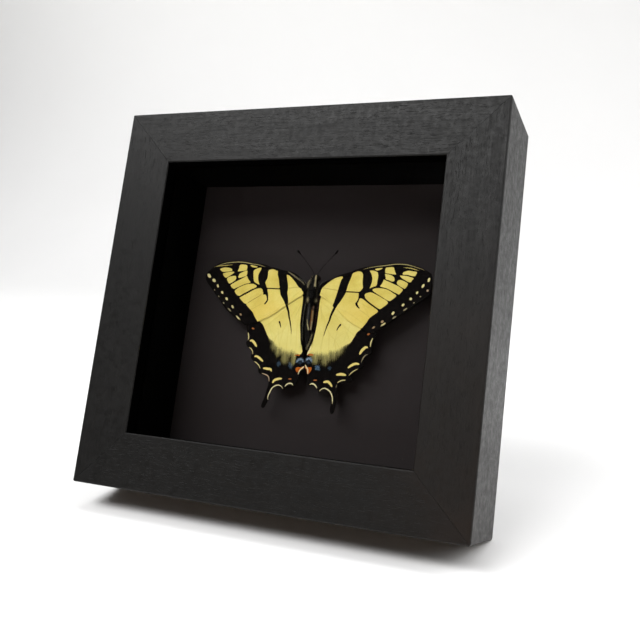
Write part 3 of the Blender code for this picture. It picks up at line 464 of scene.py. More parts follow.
FL_CELLS = [
    [(-8.2, 1.2), (-8.7, 2.9), (-9, 4.6), (-9.4, 6.2), (-9.9, 7.9), (-10.3, 9.2), (-10.2, 11), (-10.5, 12.9),
        (-11.1, 15), (-11.7, 17.1), (-11.6, 17.4), (-10.3, 17), (-8.7, 15.8), (-7, 14.2), (-5.5, 12.5), (-4.3,
        11.5), (-3.5, 11.2), (-3, 10.4), (-2.1, 9.2), (-2.5, 7.9), (-2, 5.8), (-1.7, 2.9), (-1.8, 1.2)],
    [(-21.2, 18.8), (-20.3, 19.5), (-18.7, 19.7), (-17.2, 19.2), (-16.4, 19), (-16.4, 17.5), (-15.6, 15.4),
        (-15, 12.9), (-14.6, 11.2), (-16.6, 11), (-19.1, 11), (-20.8, 11), (-21.4, 12.1), (-22, 13.3), (-21.8,
        14.2), (-21.3, 15.4), (-21.2, 17.1)],
    [(-14.5, 10.5), (-14.1, 9.5), (-13.5, 7.9), (-12.2, 6.2), (-11, 4.6), (-9.8, 2.7), (-9.4, 1.7), (-10.3,
        -9.2), (-18.2, -9.2), (-19.9, -7.3), (-20.8, -6), (-22.8, -5.3), (-23.9, -4.2), (-25.3, -2.5), (-26.6,
        -0.6), (-29.7, 2.1), (-30, 2.9), (-28.9, 3.7), (-27.2, 4.9), (-25.6, 5.9), (-24, 7), (-23.2, 7.9),
        (-22.8, 9.1), (-22.3, 8.3), (-22.4, 7.7), (-21, 7.7), (-20.3, 6.2), (-20.2, 5.2), (-20.8, 4.2), (-21.2,
        3.5), (-20.8, 3.2), (-19.9, 4.3), (-19.5, 5.3), (-19.6, 6.2), (-19.9, 8.3), (-20.5, 10.3), (-19.1,
        10.5), (-16.6, 10.5)],
    [(-28.7, 18.3), (-28.2, 19.1), (-27, 19.8), (-25.8, 20.1), (-24.9, 20.1), (-25.1, 19), (-25.8, 17.5), (-26,
        16.2), (-25.8, 14.6), (-25.2, 13.1), (-24.8, 12.3), (-25.8, 12.6), (-27, 13.1), (-27.8, 13.8), (-28.2,
        15), (-28.5, 16.5)],
    [(-30.7, 21.2), (-29.7, 21.2), (-28.2, 21), (-26.9, 20.6), (-27.4, 20.2), (-28.9, 20.2), (-29.9, 20.5)],
    [(-36.4, 21), (-35.3, 21.5), (-33.2, 21.3), (-32.4, 21), (-32.3, 19.8), (-32.6, 18.8), (-34.5, 18.4),
        (-36.9, 18.1), (-37, 18.5), (-36.6, 19.6)],
    [(-36.2, 16), (-36, 16.9), (-34.5, 17.8), (-32.8, 18.5), (-32, 18.5), (-31.9, 17.3), (-32.1, 16.2), (-33.2,
        15.7), (-34.9, 15.2), (-36, 15), (-36.4, 15.6)],
    [(-39.9, 11.5), (-38.7, 12.3), (-36.6, 13.5), (-34.5, 14.6), (-32.4, 15.8), (-31.7, 15.9), (-31.2, 15),
        (-30.3, 14), (-29.5, 13.2), (-30.1, 12.7), (-32, 12.3), (-34.5, 11.2), (-36.6, 10.2), (-37.8, 9.7),
        (-39.1, 10.4), (-39.8, 11.2)],
    [(-37.1, 8.8), (-36.2, 9.8), (-34.5, 10.8), (-32, 11.9), (-29.5, 12.4), (-27.8, 12.4), (-26.6, 11.9),
        (-26.1, 11.3), (-26.8, 10.6), (-28.7, 9.8), (-30.3, 8.8), (-32.4, 7.7), (-33.9, 6.7), (-34.7, 6.5),
        (-36.2, 7.3), (-37.1, 8.5)],
    [(-33.9, 5.8), (-32, 6.9), (-29.5, 8.3), (-27.4, 9.6), (-25.8, 10.3), (-24.1, 10.6), (-23, 10), (-22.8,
        9.2), (-23.2, 8.1), (-24.1, 7.1), (-25.8, 6), (-27.4, 5), (-29.1, 3.8), (-30.1, 3), (-31.2, 3.2),
        (-32.8, 4.4), (-34, 5.5)],
    [(-46.7, 19), (-45.3, 19.6), (-43.7, 19.8), (-41.6, 19.6), (-40.5, 19.2), (-40.2, 18.4), (-41.2, 18.1),
        (-43.2, 17.8), (-45.1, 17.7), (-46.4, 18.5)],
    [(-44.8, 16.9), (-43.2, 17.4), (-41.2, 17.8), (-39.3, 17.9), (-38.9, 17.5), (-39.9, 16.7), (-41.2, 15.8),
        (-42.4, 15.1), (-43.2, 14.9), (-44.3, 15.8)],
    [(-42.3, 14.5), (-41.2, 15.4), (-39.5, 15.8), (-38, 15.9), (-37.4, 15.2), (-37.6, 14), (-38.7, 13.1),
        (-39.9, 12.4), (-40.8, 12.2), (-41.6, 13.1)],
]
FL_LINES = [
    ([(-10.1, 11.1), (-6.6, 11.6), (-3, 11.7)], 0.29, 0.35),
    ([(-21, 10.8), (-18.2, 10.8), (-14.5, 10.8)], 0.38, 0.75),
    ([(-22.4, 3.5), (-27.4, 0.4)], 0.25, 0.2),
    ([(-10.3, 2.1), (-16.2, 0), (-21.2, -2.5)], 0.21, 0.12),
]
FL_SPOTS = [
    (-52.1, 15.5, 2.42, 1.42, -45, "s"),
    (-49.2, 13.4, 2.08, 1.42, -35, "s"),
    (-46.7, 10.8, 1.67, 1.00, -60, "s"),
    (-43.8, 7.8, 1.58, 1.00, -45, "s"),
    (-40.8, 4.8, 1.67, 1.08, -45, "s"),
    (-37, 1.2, 1.75, 0.92, -50, "c"),
    (-32.3, -2.2, 1.25, 0.83, -40, "b"),
    (-42.1, 2.8, 1.08, 0.58, -40, "g"),
    (-33.4, -3.8, 2.92, 0.67, -38, "c"),
    (-38.4, -0.3, 2.50, 0.54, -38, "g"),
    (-45.3, 5.8, 1.00, 0.50, -45, "g"),
    (-48.1, 8.8, 0.83, 0.50, -45, "g"),
]
FL_COSTA = [
    ([(-50.1, 19.7), (-47.8, 20.6), (-45.3, 21.5), (-43.2, 22), (-40.3, 22.4), (-37, 22.6), (-34.5, 22.5), (-32,
        22.2), (-29.5, 21.8), (-26.6, 21.5), (-22.6, 20.6)], 0.36, "o"),
    ([(-49.5, 20), (-46.6, 20.5), (-43.7, 20.8), (-40.3, 21.2)], 0.34, "d"),
    ([(-11.4, 19), (-8.7, 17.5), (-6.2, 16), (-3.7, 14.6), (-2, 12.9)], 0.7, "n"),
]
HR_YELLOW = [
    (26.7, -5.7), (25.4, -6.9), (24.6, -8.6), (23.8, -10.2), (22.9, -11.7), (21.7, -12.5), (20, -13.8), (19,
        -15.2), (17.9, -16.2), (17, -16.5), (16.5, -17.2), (15.8, -18.4), (15.2, -17.4), (14.6, -17.2), (14.1,
        -18.4), (13.4, -19.5), (12.8, -18.4), (12.4, -18.4), (12.1, -20.7), (11.8, -20.5), (11.3, -18.6), (10.4,
        -18.4), (9.7, -18.7), (8.5, -18.4), (7.9, -19.5), (7.5, -20.7), (7.1, -19.5), (6.2, -18.4), (4.6,
        -18.2), (3.1, -17.8), (2.5, -16.9), (2.7, -16.5), (3.5, -15), (4.2, -14.3), (4.9, -13.3), (5.4, -11.5),
        (5.9, -8), (6.2, -4), (6.3, 2), (6.4, 7), (8, 8.8), (14, 8.4), (21, 5.4), (26.5, 1), (28.8, -3.6),
]
HR_STRIPE = [
    ([(13.8, 3.7), (13, 1.8), (12.3, -0.4), (11.9, -2.5), (11.1, -5), (10.4, -7.9), (10, -10.2)], 1.25, 0.20),
    ([(17.3, -4), (16.5, -5.2), (15.8, -6.8)], 0.80, 0.30),
]
HR_LINES = [
    ([(6.9, 4.2), (7.9, 0.4), (8.3, -2.5)], 0.25, 0.2),
    ([(10.4, -4), (9.9, -9), (9.4, -13.6), (9, -16.5)], 0.21, 0.14),
    ([(16.5, -4), (16, -9), (15, -14.8)], 0.21, 0.14),
    ([(21.7, -4), (20.8, -7.8), (19.6, -11.9)], 0.21, 0.12),
]
HR_FRINGE = [
    ([(33, -9), (32.4, -10.7), (32.3, -12.8)], 0.62, "c"),
    ([(31.5, -16.1), (30.2, -16.9), (29.4, -18.4), (29, -19.8)], 0.46, "g"),
    ([(28, -22.7), (26.2, -23.7), (25, -24.8), (24.1, -26)], 0.46, "c"),
    ([(22.9, -28), (21.2, -28.2), (19.9, -28.9), (19.2, -29.5)], 0.54, "c"),
    ([(19.1, -30.2), (18.8, -31.8)], 0.33, "g"),
    ([(11.2, -33.8), (12.1, -32.8), (13.5, -32.3), (15.2, -32.8), (16.7, -34), (17.7, -36.1), (18, -38.7)],
        0.58, "w"),
    ([(6.2, -31.3), (7.5, -30.8), (8.8, -31.3), (9.9, -32.6)], 0.71, "w"),
]
HR_LUNES = [
    ([(27.9, -16.1), (28.8, -14.4), (30.1, -13.2), (31, -13.2)], 1.17),
    ([(23.4, -22.5), (25, -21.2), (26.7, -20.5), (28, -20.6)], 1.04),
    ([(18.5, -26), (20.4, -25.6), (22.6, -25.8)], 1.17),
    ([(12.8, -29.7), (14.4, -29.3), (15.6, -29.9), (16.8, -31.2)], 1.08),
]
HR_RED = [
    ([(30.3, -7.5), (31.2, -7.2)], 0.92),
    ([(7.8, -29.2), (9.3, -29.1)], 0.54),
]
HR_BLUE = [
    ([(2.9, -21.1), (3.7, -20.1), (5.0, -20.0), (5.9, -21)], 0.80, 1),
    ([(8.3, -23.2), (9.5, -24.2)], 2, 0.62),
    ([(14.6, -23), (14.7, -23.8)], 1.33, 0.3),
    ([(3.7, -21.6), (5.1, -21.6)], 0.95, 0.16),
]
HR_BLACK = [
    ([(2.6, -19.5), (3.7, -18.7), (5.4, -18.6), (6.6, -19.8)], 0.58),
    ([(2.8, -22.2), (4, -21.2), (5.3, -21.2), (6.2, -22.1)], 0.42),
]
HL_YELLOW = [
    (-20.8, -5.9), (-19.9, -7.1), (-18.7, -9), (-17.4, -11.1), (-15.8, -12.8), (-14.3, -14), (-13.5, -15.7),
        (-12.6, -16.5), (-11.8, -17.4), (-11.2, -18.4), (-10.8, -17), (-10.3, -17.2), (-9.4, -18), (-8.2,
        -18.2), (-7.7, -19.3), (-7.2, -21.7), (-6.8, -19.8), (-6.6, -18.8), (-4.9, -18.6), (-3.7, -18.7), (-3.1,
        -20.5), (-2.8, -22.3), (-2.4, -19.5), (-1.6, -18.4), (0, -18.4), (0.5, -17.8), (0.9, -16.5), (0.5,
        -14.9), (-0.2, -14), (-0.8, -11.9), (-1.2, -9.4), (-1.7, -6.5), (-2, -4), (-2.1, 2), (-2.2, 7), (-3.6, 8.8),
        (-9, 8.2), (-16.2, 5), (-21.5, 1), (-23.4, -3.4),
]
HL_STRIPE = [
    ([(-9.7, 3.1), (-8.5, 0.4), (-7.9, -1.7), (-7.1, -3.8), (-6.5, -5.8), (-6, -7.9), (-5.6, -10.2)], 1.15,
        0.20),
    ([(-12.4, -4.4), (-11.8, -5.6), (-11.2, -7.2)], 0.80, 0.30),
]
HL_LINES = [
    ([(-2.6, 4.2), (-3.7, 1.2), (-4.9, -2.1)], 0.25, 0.2),
    ([(-6, -4), (-5.7, -9), (-5.3, -14.8)], 0.21, 0.12),
    ([(-12.4, -8.2), (-11.4, -13.2), (-10.5, -16.1)], 0.21, 0.12),
    ([(-17, -6.5), (-15.8, -9.8), (-14.1, -13.2)], 0.21, 0.12),
]
HL_FRINGE = [
    ([(-27.5, -10.2), (-27.1, -11.5), (-26.9, -12.8), (-27.2, -13.7)], 0.62, "c"),
    ([(-26, -17), (-24.9, -17.5), (-24, -18.6), (-23.5, -20.1)], 0.46, "c"),
    ([(-22.3, -23.2), (-21, -23.8), (-19.7, -24.8), (-18.7, -26.2)], 0.5, "c"),
    ([(-17.5, -28.3), (-16, -28.6), (-14.6, -29.1), (-13.8, -30.2), (-13.5, -31.8)], 0.5, "p"),
    ([(-13, -39.9), (-13.2, -38.2), (-12.6, -36.5), (-11.8, -34.6), (-10.5, -33.4), (-8.9, -32.8), (-7.4,
        -33.2), (-6.4, -34.2)], 0.58, "w"),
    ([(-5.5, -33.2), (-4.9, -32.3), (-3.7, -31.6), (-2.4, -31.6), (-1.6, -32.4)], 0.62, "w"),
]
HL_LUNES = [
    ([(-25.8, -13.9), (-24.9, -13.8), (-23.7, -14.7), (-22.3, -16.3)], 1.12),
    ([(-22.3, -20.9), (-21.4, -20.8), (-19.9, -21.5), (-18, -22.8)], 1),
    ([(-17.1, -25.9), (-15.3, -26), (-13.7, -26.1), (-13.1, -26.9)], 1.04),
    ([(-11.7, -31.9), (-11, -30.8), (-9.3, -30.1), (-7.7, -29.8)], 1.04),
]
HL_RED = [
    ([(-25.8, -8.1), (-24.8, -8.3)], 0.75),
    ([(-4.3, -29.7), (-2.9, -29.6)], 0.54),
]
HL_BLUE = [
    ([(-1.3, -21.8), (-0.5, -20.8), (1.0, -20.6), (1.9, -21.5)], 0.80, 1),
    ([(-4.6, -22.8), (-3.8, -24.6)], 1.60, 0.34),
    ([(-0.6, -22.1), (1.0, -22.0)], 0.95, 0.16),
    ([(-10, -22.6), (-10, -24.2)], 1.42, 0.28),
]
HL_BLACK = [
    ([(-1.6, -20.6), (-0.6, -19.4), (1.4, -19.2), (2.4, -20.4)], 0.54),
    ([(-1.2, -23), (0, -22), (1.4, -22), (2.5, -23.2)], 0.42),
]


# ------------------------------------------------------------ curves in 2-D
def closed_curve(knots, steps):
    """A closed Catmull-Rom curve through the knots."""
    k = np.array(knots, float)
    p0, p1, p2, p3 = np.roll(k, 1, 0), k, np.roll(k, -1, 0), np.roll(k, -2, 0)
    t = (np.arange(steps) / steps)[None, :, None]
    p0, p1, p2, p3 = (p[:, None, :] for p in (p0, p1, p2, p3))
    curve = 0.5 * (2 * p1 + (p2 - p0) * t + (2 * p0 - 5 * p1 + 4 * p2 - p3) * t ** 2 + (3 * p1 - p0 - 3 * p2 + p3) * t ** 3)
    return curve.reshape(-1, 2)


def open_curve(knots, steps):
    """An open Catmull-Rom curve through the knots."""
    k = np.array(knots, float)
    k = np.vstack([2 * k[0] - k[1], k, 2 * k[-1] - k[-2]])
    t = (np.arange(steps) / steps)[None, :, None]
    p0, p1, p2, p3 = (p[:, None, :] for p in (k[:-3], k[1:-2], k[2:-1], k[3:]))
    curve = 0.5 * (2 * p1 + (p2 - p0) * t + (2 * p0 - 5 * p1 + 4 * p2 - p3) * t ** 2 + (3 * p1 - p0 - 3 * p2 + p3) * t ** 3)
    return np.vstack([curve.reshape(-1, k.shape[1]), k[-2]])


def to_line(points, line, closed=False):
    """Distance of each point from a polyline, and how far along it the nearest place is, from 0 to 1."""
    ends = np.roll(line, -1, 0) if closed else line[1:]
    starts = line if closed else line[:-1]
    lengths = np.linalg.norm(ends - starts, axis=1)
    total, run = max(lengths.sum(), 1e-9), 0.0
    best = np.full(len(points), 1e9)
    along = np.zeros(len(points))
    for a, b, length in zip(starts, ends, lengths):
        d = b - a
        t = np.clip(((points - a) @ d) / max(length * length, 1e-12), 0.0, 1.0)
        gap = np.linalg.norm(points - a - t[:, None] * d, axis=1)
        nearer = gap < best
        best[nearer] = gap[nearer]
        along[nearer] = (run + t[nearer] * length) / total
        run += length
    return best, along


def within(points, loop):
    hit = np.zeros(len(points), bool)
    for a, b in zip(loop, np.roll(loop, 1, 0)):
        if a[1] == b[1]:
            continue
        crosses = (a[1] > points[:, 1]) != (b[1] > points[:, 1])
        hit ^= crosses & (points[:, 0] < (b[0] - a[0]) * (points[:, 1] - a[1]) / (b[1] - a[1]) + a[0])
    return hit


def inside_by(points, loop, reach=4.0):
    """Distance inside a closed loop, negative outside, clipped at reach."""
    low, high = loop.min(0) - reach, loop.max(0) + reach
    near = np.all((points > low) & (points < high), axis=1)
    result = np.full(len(points), -reach)
    if near.any():
        gap, _ = to_line(points[near], loop, closed=True)
        result[near] = np.clip(np.where(within(points[near], loop), gap, -gap), -reach, reach)
    return result


def ease(value, low, high):
    t = np.clip((value - low) / (high - low), 0.0, 1.0)
    return t * t * (3 - 2 * t)


def wobble(x, y, seed, octaves=4, scale=1.0):
    """Smooth value noise made of turned sine waves, about -1 to 1."""
    rng = np.random.default_rng(seed)
    total = np.zeros_like(np.asarray(x, float))
    for k in range(octaves):
        for _ in range(4):
            angle, phase = rng.uniform(0, math.tau, 2)
            rate = scale * 2.0 ** k * rng.uniform(0.75, 1.3)
            total = total + np.sin(rate * (x * math.cos(angle) + y * math.sin(angle)) + phase) / (4 * 1.6 ** k)
    return total


def spread(x, z):
    """Depth of a wing's membrane behind its plane: near flat, with a slow roll."""
    across = np.abs(x - BODY_X)
    return 0.25 * np.sin(across * 0.11) - 0.18 * np.sin(across * 0.21 + z * 0.09) + 0.0035 * np.maximum(0.0, across - 20.0)


# --------------------------------------------------------------- the wings
SPOT_COLOURS = {
    "y": (0.74, 0.60, 0.19), "s": (0.75, 0.66, 0.31), "c": (0.58, 0.50, 0.24), "w": (0.66, 0.60, 0.36), "g": (0.24, 0.21, 0.14),
    "b": (0.30, 0.19, 0.12), "p": (0.42, 0.30, 0.22), "v": (0.16, 0.10, 0.13), "r": (0.30, 0.07, 0.02),
    "o": (0.30, 0.26, 0.12), "d": (0.46, 0.38, 0.11), "n": (0.060, 0.056, 0.048),
}

# Veins of the right forewing and hindwing, raised on the membrane.
FORE_VEINS = [
    ([(6.2, 13.3), (10.4, 16.2), (15.8, 18.3), (20.8, 20.0), (27.1, 21.5), (34.6, 22.7), (40, 23.3)], 0.30, 0.12),
    ([(6.4, 12.7), (10.8, 15.4), (16.2, 17.5), (21.7, 19.8), (28.3, 20.6), (33.3, 20.8), (35.4, 20.6)], 0.24, 0.10),
    ([(6.6, 12), (10.4, 11.6), (14.4, 11.2), (18.3, 10.8), (24.4, 10.7), (25.8, 10), (27.1, 9.2)], 0.22, 0.09),
    ([(24.4, 10.6), (26.7, 5.8), (30.6, -0.4), (32.4, -3.4)], 0.17, 0.07),
    ([(26.7, 8.5), (30.8, 6), (34.6, 3.5), (38, 1.2)], 0.17, 0.07),
    ([(29.2, 11), (33.3, 9.8), (38.5, 7), (42.4, 4.6)], 0.17, 0.07),
    ([(32, 13.3), (36.7, 12.7), (41.7, 10.3), (46, 7.6)], 0.17, 0.07),
    ([(34.6, 16.7), (38.8, 16), (44.1, 12.9), (48.8, 9.8)], 0.17, 0.07),
    ([(35.4, 19.4), (38.8, 19.2), (41.7, 18.3), (47.1, 16), (52.2, 12.9)], 0.17, 0.07),
    ([(40, 20.6), (43.5, 19.2), (48.8, 18.5), (54, 15.8)], 0.17, 0.07),
    ([(36.7, 22.5), (41.7, 21.7), (49.6, 20.5), (54.8, 18.9)], 0.17, 0.07),
    ([(6.3, 10), (12.5, 5), (18.8, -0.4), (23.3, -3.3), (27.1, -5.2)], 0.20, 0.08),
    ([(29.2, 11), (30.2, 12.6), (32, 13.3), (33.2, 14.6), (34.6, 16.7), (35.2, 18.2), (35.4, 19.4), (35.4, 20.6)], 0.16, 0.06),
]
HIND_VEINS = [
    ([(6.5, 7.5), (14, 6.5), (22, 3), (28.5, -1.5), (33.2, -7)], 0.22, 0.09),
    ([(6.5, 6), (12, 2), (19, -4.5), (26, -9.5), (32.8, -13.5)], 0.18, 0.07),
    ([(19, -4.5), (20.5, -7.2), (25, -14.5), (30, -20.5)], 0.17, 0.07),
    ([(6.3, 4), (9.5, -2), (12.5, -8), (15.5, -11), (18.5, -15), (21.5, -22.5), (24.8, -26.5)], 0.18, 0.07),
    ([(15.5, -11), (17, -17), (18.5, -26), (18.9, -33), (18.9, -40)], 0.22, 0.09),
    ([(12.5, -8), (13.3, -16), (13.4, -25), (12.5, -33)], 0.17, 0.07),
    ([(9.5, -2), (9.8, -12), (9, -22), (7.2, -31)], 0.17, 0.07),
    ([(5.9, 2), (5.8, -6), (5.2, -14), (4.2, -22), (4.3, -28)], 0.18, 0.07),
    ([(20.5, -7.2), (18.2, -8.6), (15.5, -11)], 0.14, 0.05),
]


def mirrored(veins, axis=1.25):
    return [([(2 * axis - x, z) for x, z in line], width, height) for line, width, height in veins]


def lattice(loop, pitch, clear):
    low, high = loop.min(0), loop.max(0)
    rows = int((high[1] - low[1]) / (pitch * 0.866)) + 1
    columns = int((high[0] - low[0]) / pitch) + 2
    r, c = np.mgrid[0:rows, 0:columns]
    points = np.stack([low[0] + (c + 0.5 * (r % 2)) * pitch, low[1] + (r + 0.5) * pitch * 0.866], -1).reshape(-1, 2)
    points = points[within(points, loop)]
    gap, _ = to_line(points, loop, closed=True)
    return points[gap > clear]


def mesh_object(name, points, faces, material, smooth=True):
    mesh = bpy.data.meshes.new(name)
    mesh.from_pydata(np.asarray(points, float).tolist(), [], faces)
    mesh.update()
    if smooth:
        mesh.shade_smooth()
    made = bpy.data.objects.new(name, mesh)
    bpy.context.scene.collection.objects.link(made)
    if material is not None:
        mesh.materials.append(material)
    return made


def put_value(made, name, values):
    values = np.asarray(values, np.float32)
    attribute = made.data.attributes.new(name, "FLOAT", "POINT")
    attribute.data.foreach_set("value", values)


def put_colour(made, name, values):
    values = np.asarray(values, np.float32)
    attribute = made.data.attributes.new(name, "FLOAT_COLOR", "POINT")
    attribute.data.foreach_set("color", np.hstack([values, np.ones((len(values), 1), np.float32)]).ravel())


def paint_marks(flat, marks):
    """The mark each point is most deeply in: its depth, and its colour."""
    depth = np.full(len(flat), -4.0)
    colour = np.tile(np.array(SPOT_COLOURS["y"]), (len(flat), 1))
    for gap, kind in marks:
        deeper = gap > depth
        depth[deeper] = gap[deeper]
        colour[deeper] = SPOT_COLOURS[kind]
    return depth, colour


def oval(flat, x, z, wide, high, tilt):
    """Roughly how far inside a tilted oval each point is."""
    turn = math.radians(tilt)
    dx, dz = flat[:, 0] - x, flat[:, 1] - z
    a = dx * math.cos(turn) + dz * math.sin(turn)
    b = -dx * math.sin(turn) + dz * math.cos(turn)
    r = np.sqrt((a / (wide / 2)) ** 2 + (b / (high / 2)) ** 2)
    return (1 - r) * min(wide, high) / 2


def stroke(flat, line, width, taper=(0.35, 0.35), steps=5):
    """How far inside a tapering stroke each point is."""
    gap, along = to_line(flat, open_curve(line, steps))
    half = width / 2 * (taper[0] + (1 - taper[0]) * np.sqrt(np.clip(along / 0.35, 0, 1)))
    half = np.minimum(half, width / 2 * (taper[1] + (1 - taper[1]) * np.sqrt(np.clip((1 - along) / 0.35, 0, 1))))
    return half - gap, along


def wing(name, knots, drop, veins, paint, pitch=0.25):
    """A thin two-faced membrane with raised veins; paint returns its pattern."""
    loop = closed_curve(knots, 8)
    start = np.arange(len(loop))
    loop = loop + 0.035 * np.stack([wobble(start * 0.9, start * 0.0, 5), wobble(start * 0.9, start * 0.0, 6)], -1)
    inner = lattice(loop, pitch, pitch * 0.55)
    n = len(loop)
    cut = [Vector(p) for p in np.vstack([loop, inner]).tolist()]
    flat, _, tris, _, _, _ = geometry.delaunay_2d_cdt(cut, [], [list(range(n))], 1, 1e-7)
    flat = np.array([tuple(p) for p in flat])
    count = len(flat)
    tris = np.array([t for t in tris if len(t) == 3])
    a, b, c = flat[tris[:, 0]], flat[tris[:, 1]], flat[tris[:, 2]]
    turn = (b[:, 0] - a[:, 0]) * (c[:, 1] - a[:, 1]) - (b[:, 1] - a[:, 1]) * (c[:, 0] - a[:, 0])
    tris[turn < 0] = tris[turn < 0][:, ::-1]
    x, z = flat[:, 0], flat[:, 1]
    edge, _ = to_line(flat, closed_curve(knots, 3), closed=True)
    relief = np.zeros(count)
    for line, width, height in veins:
        curve = open_curve(line, 6)
        near = np.all((flat > curve.min(0) - 1.5) & (flat < curve.max(0) + 1.5), axis=1)
        gap = np.full(count, 9.0)
        gap[near], _ = to_line(flat[near], curve)
        relief = np.maximum(relief, 1.35 * height * np.exp(-(gap / width) ** 2))
    cockle = 0.055 * wobble(x, z, 11, 3, 0.32) + 0.012 * wobble(x, z, 12, 2, 2.2)
    curl = -0.22 * np.exp(-(edge / 2.2) ** 2) * (0.5 + 0.5 * wobble(x, z, 21, 2, 0.11))
    if drop:
        curl = curl * ease(-z, 1.0, 7.0)
    level = WING_V + drop + spread(x, z) + cockle + curl
    thick = 0.05 + 0.09 * ease(edge, 0.0, 0.8)
    top = place(x, level - relief * ease(edge, 0.0, 0.5), z)
    under = place(x, level + thick + 0.7 * relief * ease(edge, 0.0, 0.5), z)
    faces = [tuple(t) for t in tris.tolist()]
    faces += [(t[2] + count, t[1] + count, t[0] + count) for t in tris.tolist()]
    ends = np.vstack([tris[:, [0, 1]], tris[:, [1, 2]], tris[:, [2, 0]]])
    key = ends[:, 0].astype(np.int64) * count + ends[:, 1]
    back = ends[:, 1].astype(np.int64) * count + ends[:, 0]
    rim = ends[~np.isin(key, back)]
    faces += [(b, a, a + count, b + count) for a, b in rim.tolist()]
    made = mesh_object(name + "_membrane", np.vstack([top, under]), faces, WING_MATERIAL)
    # Flat layout of the two faces side by side, and a strip for the rim.
    low, size = flat.min(0), flat.max(0) - flat.min(0)
    across = size[0] > size[1]
    unit = min(0.97 / size[0], 0.475 / size[1]) if across else min(0.475 / size[0], 0.95 / size[1])
    uv = (flat - low) * unit + 0.006
    other = uv + ((0.0, 0.485) if across else (0.485, 0.0))
    layer = made.data.uv_layers.new(name="OFBake")
    corners = np.vstack([uv[tris.ravel()], other[tris[:, ::-1].ravel()]])
    t = np.arange(len(rim)) / max(len(rim), 1) * 0.98 + 0.005
    step = 0.98 / max(len(rim), 1)
    strip = np.stack([
        np.stack([t + step, np.full_like(t, 0.985)], -1), np.stack([t, np.full_like(t, 0.985)], -1),
        np.stack([t, np.full_like(t, 0.992)], -1), np.stack([t + step, np.full_like(t, 0.992)], -1),
    ], 1).reshape(-1, 2)
    layer.data.foreach_set("uv", np.vstack([corners, strip]).astype(np.float32).ravel())
    pattern = paint(flat)
    for key, values in pattern.items():
        if key == "mark_colour":
            put_colour(made, key, np.vstack([values, values]))
        else:
            put_value(made, key, np.concatenate([values, values]))
    put_value(made, "vein", np.concatenate([relief, relief]))
    put_value(made, "face", np.concatenate([np.zeros(count), np.ones(count)]))
    put_value(made, "edge", np.concatenate([edge, edge]))
    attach(made, "frame")
    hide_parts(name)
    return made


def fore_paint(cells, lines, spots, costa, root_x):
    def paint(flat):
        yellow = np.full(len(flat), -4.0)
        for cell in cells:
            yellow = np.maximum(yellow, inside_by(flat, closed_curve(cell, 4)))
        line = np.zeros(len(flat))
        for path, width, strength in lines:
            gap, along = to_line(flat, open_curve(path, 5))
            line = np.maximum(line, strength * np.exp(-(gap / (width * 0.62)) ** 2) * ease(along, -0.01, 0.08) * ease(1 - along, -0.01, 0.1))
        marks = []
        for x, z, wide, high, tilt, kind in spots:
            marks.append((oval(flat, x, z, wide, high, tilt), kind))
        for path, width, kind in costa:
            marks.append((stroke(flat, path, width, (0.2, 0.2))[0], kind))
        depth, colour = paint_marks(flat, marks)
        zero = np.zeros(len(flat))
        far = np.abs(flat[:, 0] - root_x)
        pale = 0.45 * np.exp(-(far / 7.0) ** 2) + 0.35 * ease(flat[:, 1], 12.0, 20.0) * ease(far, 20.0, 36.0)
        warm = np.exp(-((far - 19.0) / 9.0) ** 2 - ((flat[:, 1] - 1.0) / 5.0) ** 2)
        return {"yellow": yellow, "soft": zero + 0.09, "lines": line, "mark": depth, "mark_colour": colour,
                "blue": zero - 3.0, "blue_force": zero, "orange": zero - 3.0, "pale": pale, "warm": warm}
    return paint


def hind_paint(yellow_loop, stripes, lines, fringe, lunes, red, blue, black, orange, tails, sign):
    def paint(flat):
        x, z = flat[:, 0], flat[:, 1]
        yellow = inside_by(flat, closed_curve(yellow_loop, 4))
        # The lower edge of the yellow fades out through a dusting of dark scales.
        soft = 0.10 + 2.1 * ease(-z, 11.0, 17.0) * ease(np.abs(x - 1.3), 2.0, 5.0)
        for path, width, tip in stripes:
            gap, along = to_line(flat, open_curve(path, 5))
            half = 0.5 * (width + (tip - width) * along) * ease(1 - along, 0.0, 0.1)
            yellow = np.minimum(yellow, gap - half)
        line = np.zeros(len(flat))
        for path, width, strength in lines:
            gap, along = to_line(flat, open_curve(path, 5))
            line = np.maximum(line, strength * np.exp(-(gap / (width * 0.7)) ** 2) * ease(along, -0.01, 0.1) * ease(1 - along, -0.01, 0.15))
        marks = [(stroke(flat, path, width * 0.86, (0.3, 0.25))[0], kind) for path, width, kind in fringe]
        marks += [(stroke(flat, path, width, (0.55, 0.45))[0], "y") for path, width in lunes]
        marks += [(stroke(flat, path, width, (0.5, 0.5))[0], "r") for path, width in red]
        marks += [(stroke(flat, path, width, (0.6, 0.1))[0], kind) for path, width, kind in tails]
        depth, colour = paint_marks(flat, marks)
        for path, width in black:
            cover = stroke(flat, path, width, (0.4, 0.4))[0]
            yellow = np.minimum(yellow, -cover)
            depth = np.minimum(depth, -cover)
        glow, force = np.full(len(flat), -3.0), np.zeros(len(flat))
        for path, width, strength in blue:
            cover = stroke(flat, path, width, (0.45, 0.45))[0]
            deeper = cover > glow
            glow[deeper], force[deeper] = cover[deeper], strength
        warm = np.full(len(flat), -3.0)
        for loop in orange:
            warm = np.maximum(warm, inside_by(flat, closed_curve(loop, 4)))
        return {"yellow": yellow, "soft": soft, "lines": line, "mark": depth, "mark_colour": colour,
                "blue": glow, "blue_force": force, "orange": warm,
                "pale": 0.35 + 0.65 * ease(-z, 0.0, 13.0), "warm": np.zeros(len(flat))}
    return paint


